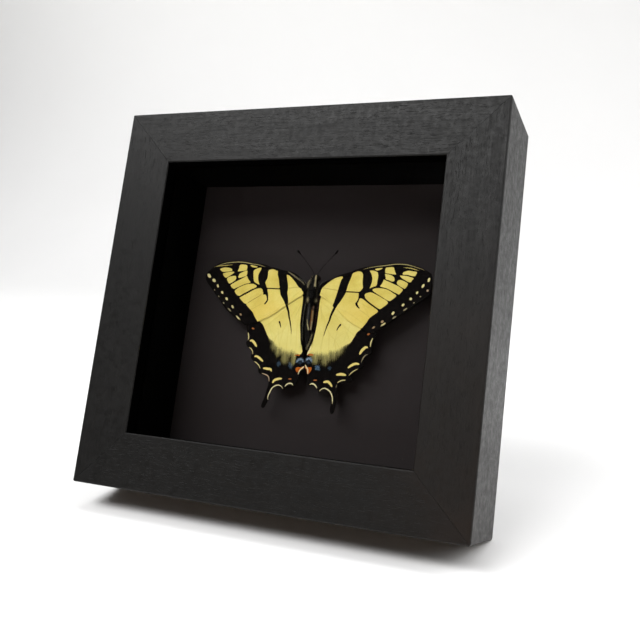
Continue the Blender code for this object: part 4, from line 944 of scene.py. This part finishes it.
def wing_scales():
    """Overlapping scales: yellow ground, black stripes, small pale and blue marks."""
    g = Graph("wing_scales")
    at = g.local()
    cell = g.node("TexVoronoi", {"Vector": g.stretch(at, (8.5, 3.0, 6.0)), "Scale": 1.0, "Randomness": 0.8}, feature="F1")
    scale_tone = g.node("SeparateColor", {"Color": cell.outputs["Color"]}).outputs[0]
    scale_edge = cell.outputs["Distance"]
    rag = g.math("SUBTRACT", scale_tone, 0.5)
    grain = g.math("SUBTRACT", g.noise(at, 2.6, 3.0, 0.6), 0.5)
    ruffle = g.math("ADD", g.math("MULTIPLY", rag, 0.10), g.math("MULTIPLY", grain, 0.16))
    soft = g.attribute("soft")
    streaks = g.math("SUBTRACT", g.noise(g.stretch(at, (1.9, 1.0, 0.13)), 1.0, 3.0, 0.6), 0.5)
    drift = g.math("ADD", g.math("MULTIPLY", streaks, 1.5), g.math("MULTIPLY", rag, 0.55))
    wander = g.math("MULTIPLY", drift, g.math("SUBTRACT", soft, 0.09))

    def mask(name, extra=None, width=0.07):
        depth = g.math("ADD", g.attribute(name), ruffle)
        if extra is not None:
            depth = g.math("ADD", depth, extra)
        low = g.math("MULTIPLY", width, -1.0)
        return g.between(depth, low, width, smooth=True)

    # Yellow ground, deeper near the body, a little greener along the folds.
    cloud = g.noise(at, 0.11, 4.0, 0.6)
    fine = g.noise(at, 0.9, 4.0, 0.65)
    ground = g.ramp(cloud, [(0.3, (0.560, 0.430, 0.075)), (0.50, (0.655, 0.535, 0.122)), (0.72, (0.735, 0.640, 0.205))])
    ground = g.mix(g.between(fine, 0.3, 0.75, 0.0, 0.50), ground, (0.54, 0.41, 0.080))
    ground = g.mix(g.math("MULTIPLY", g.attribute("pale"), 0.55), ground, (0.700, 0.640, 0.235))
    ground = g.mix(g.math("MULTIPLY", g.attribute("warm"), 0.45), ground, (0.690, 0.475, 0.085))
    ground = g.mix(g.between(scale_tone, 0.0, 1.0, 0.0, 0.22), ground, (0.74, 0.64, 0.25))
    ground = g.mix(g.between(g.attribute("vein"), 0.015, 0.09, 0.0, 0.30), ground, (0.50, 0.36, 0.075))
    ground = g.mix(g.attribute("lines"), ground, (0.075, 0.040, 0.010))

    dark_cloud = g.noise(at, 0.35, 4.0, 0.6)
    black = g.ramp(dark_cloud, [(0.3, (0.0012, 0.0009, 0.0009)), (0.55, (0.0026, 0.0018, 0.0017)), (0.8, (0.0052, 0.0034, 0.0032))])
    black = g.mix(g.between(scale_tone, 0.75, 1.0, 0.0, 0.35), black, (0.0075, 0.0052, 0.0042))

    yellow = g.node("MapRange", interpolation_type="SMOOTHSTEP")
    g.put(yellow.inputs["Value"], g.math("ADD", g.math("ADD", g.attribute("yellow"), ruffle), wander))
    g.put(yellow.inputs["From Min"], g.math("MULTIPLY", soft, -1.0))
    g.put(yellow.inputs["From Max"], soft)
    colour = g.mix(yellow.outputs["Result"], black, ground)
    # A brown seam where yellow meets black.
    seam = g.math("SUBTRACT", 1.0, g.math("ABSOLUTE", g.math("SUBTRACT", g.math("MULTIPLY", yellow.outputs["Result"], 2.0), 1.0)))
    dusk = g.mix(g.between(soft, 0.15, 0.8), (0.17, 0.095, 0.016), (0.085, 0.080, 0.040))
    colour = g.mix(g.math("MULTIPLY", seam, g.between(soft, 0.15, 1.2, 0.55, 0.70)), colour, dusk)

    blue = g.between(g.math("ADD", g.math("ADD", g.attribute("blue"), g.math("MULTIPLY", rag, 0.75)), ruffle), -0.30, 0.30, smooth=True)
    blue = g.math("MULTIPLY", blue, g.attribute("blue_force"))
    crest = g.between(g.attribute("blue_force"), 0.75, 0.95)
    blue_tone = g.ramp(scale_tone, [(0.0, (0.020, 0.052, 0.120)), (0.5, (0.070, 0.140, 0.245)), (1.0, (0.160, 0.250, 0.340))])
    blue_tone = g.mix(g.math("MULTIPLY", crest, 0.60), blue_tone, (0.235, 0.290, 0.360))
    colour = g.mix(blue, colour, blue_tone)
    orange = mask("orange", width=0.10)
    orange_tone = g.ramp(g.noise(at, 0.9, 3.0), [(0.3, (0.30, 0.055, 0.006)), (0.7, (0.46, 0.130, 0.016))])
    colour = g.mix(orange, colour, orange_tone)
    marks = mask("mark")
    mark_tone = g.attribute("mark_colour", "Color")
    mark_tone = g.mix(g.between(scale_tone, 0.0, 1.0, 0.0, 0.25), mark_tone, (0.55, 0.42, 0.14))
    colour = g.mix(marks, colour, mark_tone)
    # The underside is paler.
    under = g.math("MULTIPLY", g.attribute("face"), 0.28)
    colour = g.mix(under, colour, (0.62, 0.54, 0.28))

    height = g.math("ADD", g.math("MULTIPLY", scale_edge, -0.6), g.math("MULTIPLY", scale_tone, 0.35))
    normal = g.bump(g.math("ADD", height, g.math("MULTIPLY", fine, 0.4)), 0.00004, 0.55)
    rough = g.between(g.math("ADD", scale_tone, fine), 0.3, 1.7, 0.56, 0.74)
    return g.finish(principled(g, colour, rough, normal, specular_ior_level=0.03))


WING_MATERIAL = wing_scales()

HR_ORANGE = [[(2.3, -23.1), (2.9, -22.9), (3.8, -23.7), (5.0, -23.8), (6.0, -23.7), (6.2, -24.5), (5.8, -25.6), (5.1, -26.6), (4.4, -26.5), (4.0, -25.3), (3.2, -24.2)], [(3.4, -17.9), (4.8, -17.7), (6.2, -18.0), (6.1, -18.5), (4.8, -18.4), (3.5, -18.5)]]
HL_ORANGE = [[(-1.4, -24.5), (-0.4, -24.1), (1.0, -24.1), (2.1, -23.6), (2.5, -24.1), (1.9, -24.9), (0.9, -25.3), (0.2, -26.2), (-0.6, -26.4), (-1.3, -25.6)], [(-2.6, -18.8), (-1.2, -18.5), (-0.2, -18.6), (-0.4, -19.1), (-1.4, -19.0), (-2.5, -19.2)]]
HR_TAILS = [([(2.7, -22.6), (3.6, -23.7), (4.5, -25.0), (4.7, -26.9)], 0.50, "w"), ([(4.6, -14.9), (4.0, -16.8), (3.4, -18.4)], 0.60, "w")]
HL_TAILS = [([(2.6, -23.6), (1.5, -24.6), (0.6, -25.6), (0.1, -27.4)], 0.50, "w"), ([(0.5, -14.2), (1.0, -16.4), (1.6, -18.4)], 0.45, "w")]

wing("forewing_right", FOREWING_RIGHT, 0.0, FORE_VEINS, fore_paint(FR_CELLS, FR_LINES, FR_SPOTS, FR_COSTA, 6.0))
wing("forewing_left", FOREWING_LEFT, 0.0, mirrored(FORE_VEINS), fore_paint(FL_CELLS, FL_LINES, FL_SPOTS, FL_COSTA, -1.0))
wing("hindwing_right", HINDWING_RIGHT, 0.36, HIND_VEINS,
     hind_paint(HR_YELLOW, HR_STRIPE, HR_LINES, HR_FRINGE, HR_LUNES, HR_RED, HR_BLUE, HR_BLACK, HR_ORANGE, HR_TAILS, 1))
wing("hindwing_left", HINDWING_LEFT, 0.36, mirrored(HIND_VEINS),
     hind_paint(HL_YELLOW, HL_STRIPE, HL_LINES, HL_FRINGE, HL_LUNES, HL_RED, HL_BLUE, HL_BLACK, HL_ORANGE, HL_TAILS, -1))


# ---------------------------------------------------------------- the body
# Half width, half depth, depth of the middle and place across, at heights from
# the front of the head to the tip of the abdomen.
SECTIONS = np.array([
    (18.30, 0.30, 0.25, 29.40, 2.60), (18.00, 1.10, 0.85, 29.45, 2.52), (17.30, 1.70, 1.35, 29.50, 2.42),
    (16.40, 2.08, 1.65, 29.50, 2.34), (15.60, 2.12, 1.75, 29.60, 2.28), (14.80, 1.90, 1.65, 29.70, 2.22),
    (14.20, 1.98, 1.75, 29.75, 2.16), (13.30, 2.35, 2.25, 29.80, 2.10), (12.20, 2.70, 2.75, 29.88, 2.04),
    (10.60, 3.02, 3.20, 29.94, 2.00), (8.60, 3.12, 3.40, 29.96, 1.97), (6.60, 2.98, 3.25, 29.98, 1.95),
    (5.20, 2.65, 2.90, 30.00, 1.94), (4.10, 2.28, 2.45, 30.02, 1.94), (3.30, 2.14, 2.30, 30.05, 1.95),
    (2.00, 2.20, 2.42, 30.08, 1.98), (0.00, 2.32, 2.55, 30.10, 2.02), (-2.50, 2.38, 2.60, 30.10, 2.08),
    (-5.00, 2.32, 2.55, 30.10, 2.14), (-7.50, 2.14, 2.35, 30.10, 2.18), (-10.00, 1.84, 2.05, 30.10, 2.18),
    (-12.20, 1.46, 1.65, 30.10, 2.14), (-14.20, 1.04, 1.20, 30.10, 2.08), (-15.60, 0.62, 0.72, 30.10, 2.02),
    (-16.25, 0.22, 0.28, 30.10, 1.98),
])
RINGS = [3.0, 0.9, -1.4, -3.9, -6.4, -8.8, -11.0, -12.9, -14.5]


def body_point(z, turn, out=0.0):
    """A point of the body's surface: turn is 0 at the back facing the glass, growing to the right."""
    order = SECTIONS[::-1]
    half_w, half_d, middle, across = (np.interp(z, order[:, 0], order[:, k]) for k in (1, 2, 3, 4))
    pinch = np.zeros_like(z)
    for ring in RINGS:
        pinch += np.exp(-((z - ring) / 0.16) ** 2)
    lumps = 0.05 * wobble(turn * 2.0, z * 0.9, 41, 3, 1.0)
    swell = 1.0 - 0.045 * pinch * ease(4.0 - z, 0.0, 1.0) + lumps * ease(z, 2.0, 5.0) + 0.25 * lumps
    x = across + (half_w * swell + out) * np.sin(turn)
    v = middle - (half_d * swell + out) * np.cos(turn)
    return x, v, z


def body_colour(z, turn):
    """Black hair, with the pale stripes of the head, collar, thorax and abdomen."""
    n = len(z)
    colour = np.tile(np.array((0.0030, 0.0024, 0.0020)), (n, 1))
    degrees = np.degrees((turn + math.pi) % math.tau - math.pi)

    def lay(mask, tone):
        nonlocal colour
        mask = np.clip(mask, 0, 1)[:, None]
        colour = colour * (1 - mask) + np.array(tone) * mask

    def stripe(z0, t0, z1, t1, half, fade=5.0):
        centre = np.interp(z, [min(z0, z1), max(z0, z1)], [t0 if z0 < z1 else t1, t1 if z0 < z1 else t0])
        ends = ease(z, min(z0, z1) - 0.4, min(z0, z1) + 0.2) * (1 - ease(z, max(z0, z1) - 0.2, max(z0, z1) + 0.4))
        return ends * (1 - ease(np.abs(degrees - centre), half - fade, half + fade))

    pale, cream = (0.42, 0.35, 0.19), (0.60, 0.51, 0.28)
    lay(stripe(17.7, 17, 12.4, 30, 10, 5) * 0.95, cream)
    lay(stripe(17.3, -68, 15.2, -74, 14, 6) * 0.85, cream)
    lay(stripe(14.6, -62, 12.2, -52, 10, 6) * 0.55, pale)
    lay(stripe(12.0, 52, 7.4, 58, 5, 4) * 0.35, (0.16, 0.13, 0.09))
    lay(stripe(12.0, -34, 7.4, -28, 4, 4) * 0.40, (0.16, 0.14, 0.10))
    lay(np.exp(-((z - 6.2) / 0.75) ** 2 - ((degrees - 60) / 12) ** 2) * 0.95, cream)
    lay(np.exp(-((z - 6.2) / 0.85) ** 2 - ((degrees + 24) / 11) ** 2) * 0.95, cream)
    lay(stripe(4.4, -6, -2.6, -10, 7, 5) * 0.50, (0.10, 0.10, 0.105))
    lay(stripe(3.9, 47, 0.9, 44, 9, 6) * 0.80, (0.20, 0.120, 0.070))
    lay(stripe(1.4, 44, -3.6, 42, 10, 5) * 0.92, (0.52, 0.330, 0.150))
    lay(stripe(-3.4, 42, -7.1, 40, 9, 5) * 0.92, (0.56, 0.450, 0.250))
    lay(stripe(2.0, 31, -5.6, 30, 4, 4) * 0.75, (0.26, 0.090, 0.014))
    lay(stripe(-2.8, -12, -5.0, -3, 6, 5) * 0.80, (0.36, 0.310, 0.160))
    lay(stripe(-4.8, -3, -7.3, 15, 6, 5) * 0.95, (0.56, 0.480, 0.250))
    lay(stripe(-8.0, 70, -13.5, 70, 12, 8) * 0.30, (0.30, 0.27, 0.17))
    lay(stripe(4.0, 122, -15.5, 122, 22, 8) * 0.8, pale)
    lay(stripe(4.0, -122, -15.5, -122, 22, 8) * 0.8, pale)
    lay(stripe(12.0, 112, 5.0, 116, 12, 8) * 0.6, pale)
    lay(stripe(12.0, -112, 5.0, -116, 12, 8) * 0.6, pale)
    return colour


def body_material():
    g = Graph("body_hair")
    at = g.local()
    tone = g.attribute("tone", "Color")
    fur = g.noise(g.stretch(at, (4.2, 4.2, 0.75)), 1.0, 4.0, 0.65)
    fine = g.noise(at, 3.2, 3.0, 0.6)
    colour = g.mix(g.between(fur, 0.3, 0.75, 0.55, 0.0), tone, (0.0035, 0.0030, 0.0028))
    colour = g.mix(g.between(fine, 0.5, 0.8, 0.0, 0.2), colour, (0.024, 0.018, 0.013))
    normal = g.bump(g.math("ADD", fur, g.math("MULTIPLY", fine, 0.3)), 0.00018, 0.8)
    return g.finish(principled(g, colour, g.between(fur, 0.3, 0.7, 0.70, 0.48), normal, specular_ior_level=0.10))


def eye_material():
    g = Graph("compound_eye")
    at = g.local()
    facet = g.cells(at, 16.0, "F1")
    cloud = g.noise(at, 0.9, 3.0)
    colour = g.ramp(cloud, [(0.3, (0.010, 0.006, 0.004)), (0.7, (0.032, 0.018, 0.010))])
    return g.finish(principled(g, colour, g.between(facet, 0.0, 0.6, 0.12, 0.26), g.bump(facet, 0.00003, 0.5), specular_ior_level=0.5))


BODY_MATERIAL = body_material()
rows, sides = 190, 72
zs = np.linspace(SECTIONS[0, 0], SECTIONS[-1, 0], rows)
turns = np.linspace(0, math.tau, sides, endpoint=False)
zz, tt = (a.ravel() for a in np.meshgrid(zs, turns, indexing="ij"))
skin = place(*body_point(zz, tt))
faces = []
for r in range(rows - 1):
    for s in range(sides):
        e = (s + 1) % sides
        faces.append((r * sides + s, r * sides + e, (r + 1) * sides + e, (r + 1) * sides + s))
faces.append(tuple(range(sides))[::-1])
faces.append(tuple(range((rows - 1) * sides, rows * sides)))
body = mesh_object("insect_body_form", skin, faces, BODY_MATERIAL)
put_colour(body, "tone", body_colour(zz, tt))
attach(body, "frame")
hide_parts("insect_body")


def hairs(name, roots, tips, width, colours, material, bend=0.25, body_name="frame"):
    """Closed three-sided tapering hairs, each bent once, from roots to tips in millimetres (x, v, z)."""
    rng = np.random.default_rng(len(roots))
    roots, tips = np.asarray(roots, float), np.asarray(tips, float)
    n = len(roots)
    width = np.broadcast_to(np.asarray(width, float), (n,))
    along = tips - roots
    length = np.linalg.norm(along, axis=1, keepdims=True)
    d = along / np.maximum(length, 1e-9)
    guide = rng.normal(size=(n, 3))
    a = np.cross(d, guide)
    a /= np.linalg.norm(a, axis=1, keepdims=True)
    b = np.cross(d, a)
    middle = roots + along * 0.5 + (a * rng.uniform(-1, 1, (n, 1)) + b * rng.uniform(-1, 1, (n, 1))) * length * bend * 0.4
    rings = []
    for centre, share in ((roots, 1.0), (middle, 0.75)):
        for k in range(3):
            angle = math.tau * k / 3
            rings.append(centre + (a * math.cos(angle) + b * math.sin(angle)) * (width * share)[:, None])
    rings.append(tips)
    points = np.stack(rings, 1)                      # n, 7, 3
    flat = points.reshape(-1, 3)
    template = [(0, 2, 1), (0, 1, 4, 3), (1, 2, 5, 4), (2, 0, 3, 5), (3, 4, 6), (4, 5, 6), (5, 3, 6)]
    faces = [tuple(i + 7 * k for i in f) for k in range(n) for f in template]
    made = mesh_object(name, place(flat[:, 0], flat[:, 1], flat[:, 2]), faces, material)
    put_colour(made, "tone", np.repeat(colours, 7, axis=0))
    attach(made, body_name)
    return made


def hair_material():
    g = Graph("fine_hair")
    at = g.local()
    tone = g.attribute("tone", "Color")
    colour = g.mix(g.between(g.noise(at, 1.2, 4.0, 0.7), 0.35, 0.7, 0.0, 0.4), tone, (0.006, 0.005, 0.0045))
    return g.finish(principled(g, colour, g.between(g.noise(at, 2.0, 2.0), 0.3, 0.7, 0.42, 0.62), specular_ior_level=0.10))


HAIR_MATERIAL = hair_material()
rng = np.random.default_rng(7)


def fur(name, count, z_low, z_high, turn_half, length, lean, width, dark=1.0):
    """Hair over a stretch of the body, lying back along it."""
    z = rng.uniform(z_low, z_high, count)
    turn = rng.uniform(-turn_half, turn_half, count)
    root = np.stack(body_point(z, turn, -0.05), -1)
    reach = length * rng.uniform(0.55, 1.15, count)
    out = np.stack([np.sin(turn), -np.cos(turn), np.zeros(count)], -1)
    side = rng.normal(0, 0.18, (count, 3))
    direction = out * (1 - lean) + np.array((0, 0, -1.0)) * lean + side
    direction /= np.linalg.norm(direction, axis=1, keepdims=True)
    tip = root + direction * reach[:, None]
    colour = body_colour(z, turn) * rng.uniform(0.7, 1.35, (count, 1)) * dark
    return hairs(name, root, tip, width, colour, HAIR_MATERIAL)


fur("thorax_hair", 3600, 3.6, 14.0, 2.5, 1.15, 0.72, 0.026)
fur("head_hair", 900, 14.2, 17.6, 2.6, 0.65, 0.45, 0.022)
fur("abdomen_hair", 2600, -15.6, 3.6, 2.6, 0.50, 0.86, 0.020)

def bands(name, count, path, spread_x, depth, length, colour, away, width=0.028, lift=0.9):
    """Hair along a path of (x, z) points, lying flat over the wing root and pointing down it."""
    line = open_curve(path, 12)
    steps = np.concatenate([[0], np.cumsum(np.linalg.norm(np.diff(line, axis=0), axis=1))])
    t = rng.uniform(0, steps[-1], count)
    x, z = np.interp(t, steps, line[:, 0]), np.interp(t, steps, line[:, 1])
    ahead = np.stack([np.interp(t, steps, np.gradient(line[:, 0], steps)), np.interp(t, steps, np.gradient(line[:, 1], steps))], -1)
    x = x + rng.normal(0, spread_x, count)
    root = np.stack([x, depth + rng.uniform(-0.10, 0.35, count), z + rng.normal(0, 0.3, count)], -1)
    reach = length * rng.uniform(0.5, 1.2, count)
    direction = np.stack([ahead[:, 0] + away + rng.normal(0, 0.16, count), -lift * rng.uniform(0.05, 0.4, count), ahead[:, 1] + rng.normal(0, 0.1, count)], -1)
    direction /= np.linalg.norm(direction, axis=1, keepdims=True)
    tone = np.array(colour)[None, :] * rng.uniform(0.5, 1.5, (count, 1))
    return hairs(name, root, root + direction * reach[:, None], width, tone, HAIR_MATERIAL)


BAND = (0.0040, 0.0028, 0.0022)
bands("margin_hair_left", 1500, [(-0.9, 12.6), (-1.0, 8.0), (-1.0, 2.0), (-0.9, -4.0), (-0.4, -10.0), (0.4, -14.2)], 0.34, 28.75, 2.0, BAND, -0.02)
bands("margin_hair_right", 1300, [(5.4, 12.6), (5.5, 8.0), (5.55, 2.0), (5.35, -4.0), (4.9, -9.5), (4.3, -12.5)], 0.26, 28.75, 1.9, BAND, 0.02)
bands("margin_hair_red", 260, [(5.5, 9.0), (5.5, 2.0), (5.3, -5.0)], 0.22, 28.5, 1.7, (0.060, 0.022, 0.016), 0.03)
bands("margin_hair_grey", 240, [(-0.6, 6.0), (-0.75, -1.0), (-0.55, -6.0), (0.1, -11.5)], 0.07, 28.3, 1.6, (0.16, 0.15, 0.115), 0.0, 0.026)
bands("tip_hair_right", 260, [(4.5, -9.0), (4.0, -12.0), (2.9, -15.2)], 0.16, 28.5, 1.3, (0.34, 0.29, 0.16), 0.0, 0.026)
bands("tegula_hair_left", 260, [(0.0, 15.3), (-0.35, 14.0), (-0.45, 12.2)], 0.20, 28.4, 1.0, (0.40, 0.34, 0.19), -0.05, 0.030)
bands("tegula_hair_right", 200, [(4.6, 14.8), (5.0, 13.4), (5.2, 12.0)], 0.22, 28.5, 1.0, (0.030, 0.026, 0.022), 0.05, 0.030)
bands("root_hair_right", 260, [(5.2, 13.0), (6.4, 14.2), (7.8, 15.0)], 0.20, 28.1, 1.2, (0.075, 0.070, 0.060), 0.2, 0.028)
bands("root_hair_left", 320, [(-1.4, 12.8), (-2.6, 14.4), (-4.8, 15.8)], 0.22, 28.1, 1.2, (0.075, 0.070, 0.060), -0.2, 0.028)

# Compound eyes at the sides of the head.
EYE_MATERIAL = eye_material()
for side in (-1, 1):
    lat, lon = np.meshgrid(np.linspace(0, math.pi, 26), np.linspace(0, math.tau, 40, endpoint=False), indexing="ij")
    ex = 2.36 + side * 1.62 + 0.72 * np.sin(lat) * np.cos(lon)
    ev = 29.62 - 0.92 * np.sin(lat) * np.sin(lon)
    ez = 16.55 + 0.92 * np.cos(lat)
    keep = place(ex.ravel(), ev.ravel(), ez.ravel())
    faces = [(r * 40 + s, r * 40 + (s + 1) % 40, (r + 1) * 40 + (s + 1) % 40, (r + 1) * 40 + s) for r in range(1, 24) for s in range(40)]
    faces += [tuple(40 + s for s in range(40)), tuple(24 * 40 + s for s in range(40))[::-1]]
    used = sorted({i for f in faces for i in f})
    index = {old: new for new, old in enumerate(used)}
    eye = mesh_object("eye_right" if side > 0 else "eye_left", keep[used], [tuple(index[i] for i in f) for f in faces], EYE_MATERIAL)
    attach(eye, "frame")


# ------------------------------------------------------------ the antennae
def antenna_material():
    g = Graph("antenna_skin")
    at = g.local()
    rings = g.noise(g.stretch(at, (0.5, 0.5, 3.6)), 1.0, 2.0, 0.5)
    colour = g.ramp(rings, [(0.35, (0.0008, 0.0006, 0.0006)), (0.65, (0.0028, 0.0018, 0.0014))])
    return g.finish(principled(g, colour, g.between(rings, 0.3, 0.7, 0.38, 0.58), g.bump(rings, 0.00005, 0.5), specular_ior_level=0.05))


ANTENNA_MATERIAL = antenna_material()
ANTENNAE = {
    "antenna_right": [(3.1, 18.0), (5.1, 20.9), (7.2, 23.4), (9.2, 25.6), (10.9, 27.4), (11.6, 28.3), (12.25, 29.5)],
    "antenna_left": [(1.7, 18.0), (0.0, 20.7), (-1.9, 22.9), (-4.0, 25.1), (-5.6, 26.8), (-6.6, 27.8), (-7.9, 29.0)],
}
for name, knots in ANTENNAE.items():
    line = open_curve(knots, 16)
    steps = np.linalg.norm(np.diff(line, axis=0), axis=1)
    t = np.concatenate([[0], np.cumsum(steps)]) / steps.sum()
    ahead = np.gradient(line, axis=0)
    ahead /= np.linalg.norm(ahead, axis=1, keepdims=True)
    club = np.exp(-(np.clip(t - 0.93, -1, 1) / np.where(t < 0.93, 0.085, 0.045)) ** 2)
    ripple = 1 + 0.07 * np.sin(t * 2 * math.pi * 46)
    radius = (0.105 + 0.44 * club) * ripple * np.sqrt(np.clip((1.004 - t) / 0.02, 0.05, 1))
    depth = 29.0 - 1.2 * np.sin(t * math.pi / 2)
    sides_a = 14
    points = []
    for k in range(sides_a):
        angle = math.tau * k / sides_a
        points.append(np.stack([
            line[:, 0] - ahead[:, 1] * radius * math.cos(angle), depth + radius * math.sin(angle),
            line[:, 1] + ahead[:, 0] * radius * math.cos(angle),
        ], -1))
    points = np.stack(points, 1)
    m = len(line)
    flat = points.reshape(-1, 3)
    faces = [(i * sides_a + k, i * sides_a + (k + 1) % sides_a, (i + 1) * sides_a + (k + 1) % sides_a, (i + 1) * sides_a + k)
             for i in range(m - 1) for k in range(sides_a)]
    faces += [tuple(range(sides_a))[::-1], tuple(range((m - 1) * sides_a, m * sides_a))]
    feeler = mesh_object(name + "_fine", place(flat[:, 0], flat[:, 1], flat[:, 2]), faces, ANTENNA_MATERIAL)
    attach(feeler, "frame")
    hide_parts(name)


# ------------------------------------------------------- floor and backdrop
def pale_paper():
    g = Graph("studio_floor")
    at = g.node("TexCoord").outputs["Object"]
    value = g.noise(at, 3.0, 3.0)
    colour = g.ramp(value, [(0.3, (0.83, 0.83, 0.83)), (0.7, (0.85, 0.85, 0.85))])
    # Painted shade: the sweep is painted greyer as it rises up the back wall, standing in for the light falling off
    # higher up.
    painted_falloff = g.between(g.node("SeparateXYZ", {"Vector": at}).outputs[2], 0.1, 0.9)
    colour = g.mix(painted_falloff, colour, (0.71, 0.71, 0.70))
    return g.finish(principled(g, colour, g.between(value, 0.0, 1.0, 0.75, 0.85), specular_ior_level=0.2))


sweep = []
for k in range(25):
    angle = math.radians(90) * k / 24
    sweep.append((0.75 + 0.6 * math.sin(angle), 0.6 * (1 - math.cos(angle))))
profile = [(-2.4, 0.0), (-0.6, 0.0), (0.3, 0.0)] + sweep + [(1.35, 2.6)]
points, faces = [], []
for x in (-3.2, 3.2):
    points += [(x, y, z) for y, z in profile]
m = len(profile)
for i in range(m - 1):
    faces.append((i, i + m, i + m + 1, i + 1))
floor = mesh_object("studio_sweep", points, faces, pale_paper())

# ------------------------------------------------------------------- lights
world = bpy.data.worlds.new("studio")
bpy.context.scene.world = world
world.use_nodes = True
wt = world.node_tree
wt.nodes.clear()
w_out = wt.nodes.new("ShaderNodeOutputWorld")
w_bg = wt.nodes.new("ShaderNodeBackground")
w_coord = wt.nodes.new("ShaderNodeTexCoord")
w_split = wt.nodes.new("ShaderNodeSeparateXYZ")
wt.links.new(w_coord.outputs["Generated"], w_split.inputs[0])


def w_step(value, low, high, to_low, to_high):
    made = wt.nodes.new("ShaderNodeMapRange")
    made.interpolation_type = "SMOOTHSTEP"
    wt.links.new(value, made.inputs["Value"])
    for key, item in (("From Min", low), ("From Max", high), ("To Min", to_low), ("To Max", to_high)):
        made.inputs[key].default_value = item
    return made.outputs["Result"]


def w_math(operation, a, b):
    made = wt.nodes.new("ShaderNodeMath")
    made.operation = operation
    for socket, value in zip(made.inputs, (a, b)):
        if isinstance(value, float):
            socket.default_value = value
        else:
            wt.links.new(value, socket)
    return made.outputs[0]


above = w_step(w_split.outputs["Z"], 0.45, 0.85, 0.0, 0.20)
behind = w_step(w_split.outputs["Y"], 0.0, 0.45, 0.0, 0.46)
level = w_math("ADD", w_math("MAXIMUM", above, behind), 0.06)
wt.links.new(level, w_bg.inputs["Color"])
w_bg.inputs["Strength"].default_value = 1.0
wt.links.new(w_bg.outputs[0], w_out.inputs["Surface"])


def soft_box(name, where, target, size, power, tint=(1.0, 1.0, 1.0)):
    data = bpy.data.lights.new(name, "AREA")
    data.shape = "RECTANGLE"
    data.size, data.size_y = size
    data.energy = power
    data.color = tint
    lamp = bpy.data.objects.new(name, data)
    bpy.context.scene.collection.objects.link(lamp)
    lamp.location = where
    lamp.rotation_euler = (Vector(target) - Vector(where)).to_track_quat("-Z", "Y").to_euler()
    return lamp


soft_box("key_light", (-0.50, -0.74, 1.12), (0.0, 0.0, 0.10), (1.25, 0.50), 23.2)
soft_box("top_light", (0.0, 0.25, 1.3), (0.0, 0.25, 0.0), (1.2, 0.6), 5.2)
soft_box("back_right_light", (0.70, 0.30, 0.95), (0.30, 0.20, 0.0), (0.9, 0.6), 3.4)
soft_box("back_left_light", (-1.0, 0.45, 1.2), (-1.3, 1.30, 0.85), (0.9, 0.6), 6.4)
soft_box("right_light", (0.9, 0.15, 0.50), (0.15, 0.10, 0.0), (0.6, 0.6), 5.6)
soft_box("front_light", (0.05, -1.25, 0.30), (0.0, -0.05, 0.0), (1.6, 0.3), 1.7, (1.0, 0.74, 0.54))

# ------------------------------------------------------------------- camera
camera_data = bpy.data.cameras.new("camera")
camera = bpy.data.objects.new("camera", camera_data)
bpy.context.scene.collection.objects.link(camera)
camera.location = (0.151535, -0.323303, 0.131643)
camera.rotation_euler = (math.radians(82.2312), 0.0, math.radians(23.69895))
camera_data.sensor_width = 36.0
camera_data.lens = 46.077
camera_data.clip_start = 0.01
camera_data.clip_end = 20.0
bpy.context.scene.camera = camera
bpy.context.scene.view_settings.view_transform = "Standard"
bpy.context.scene.view_settings.look = "None"
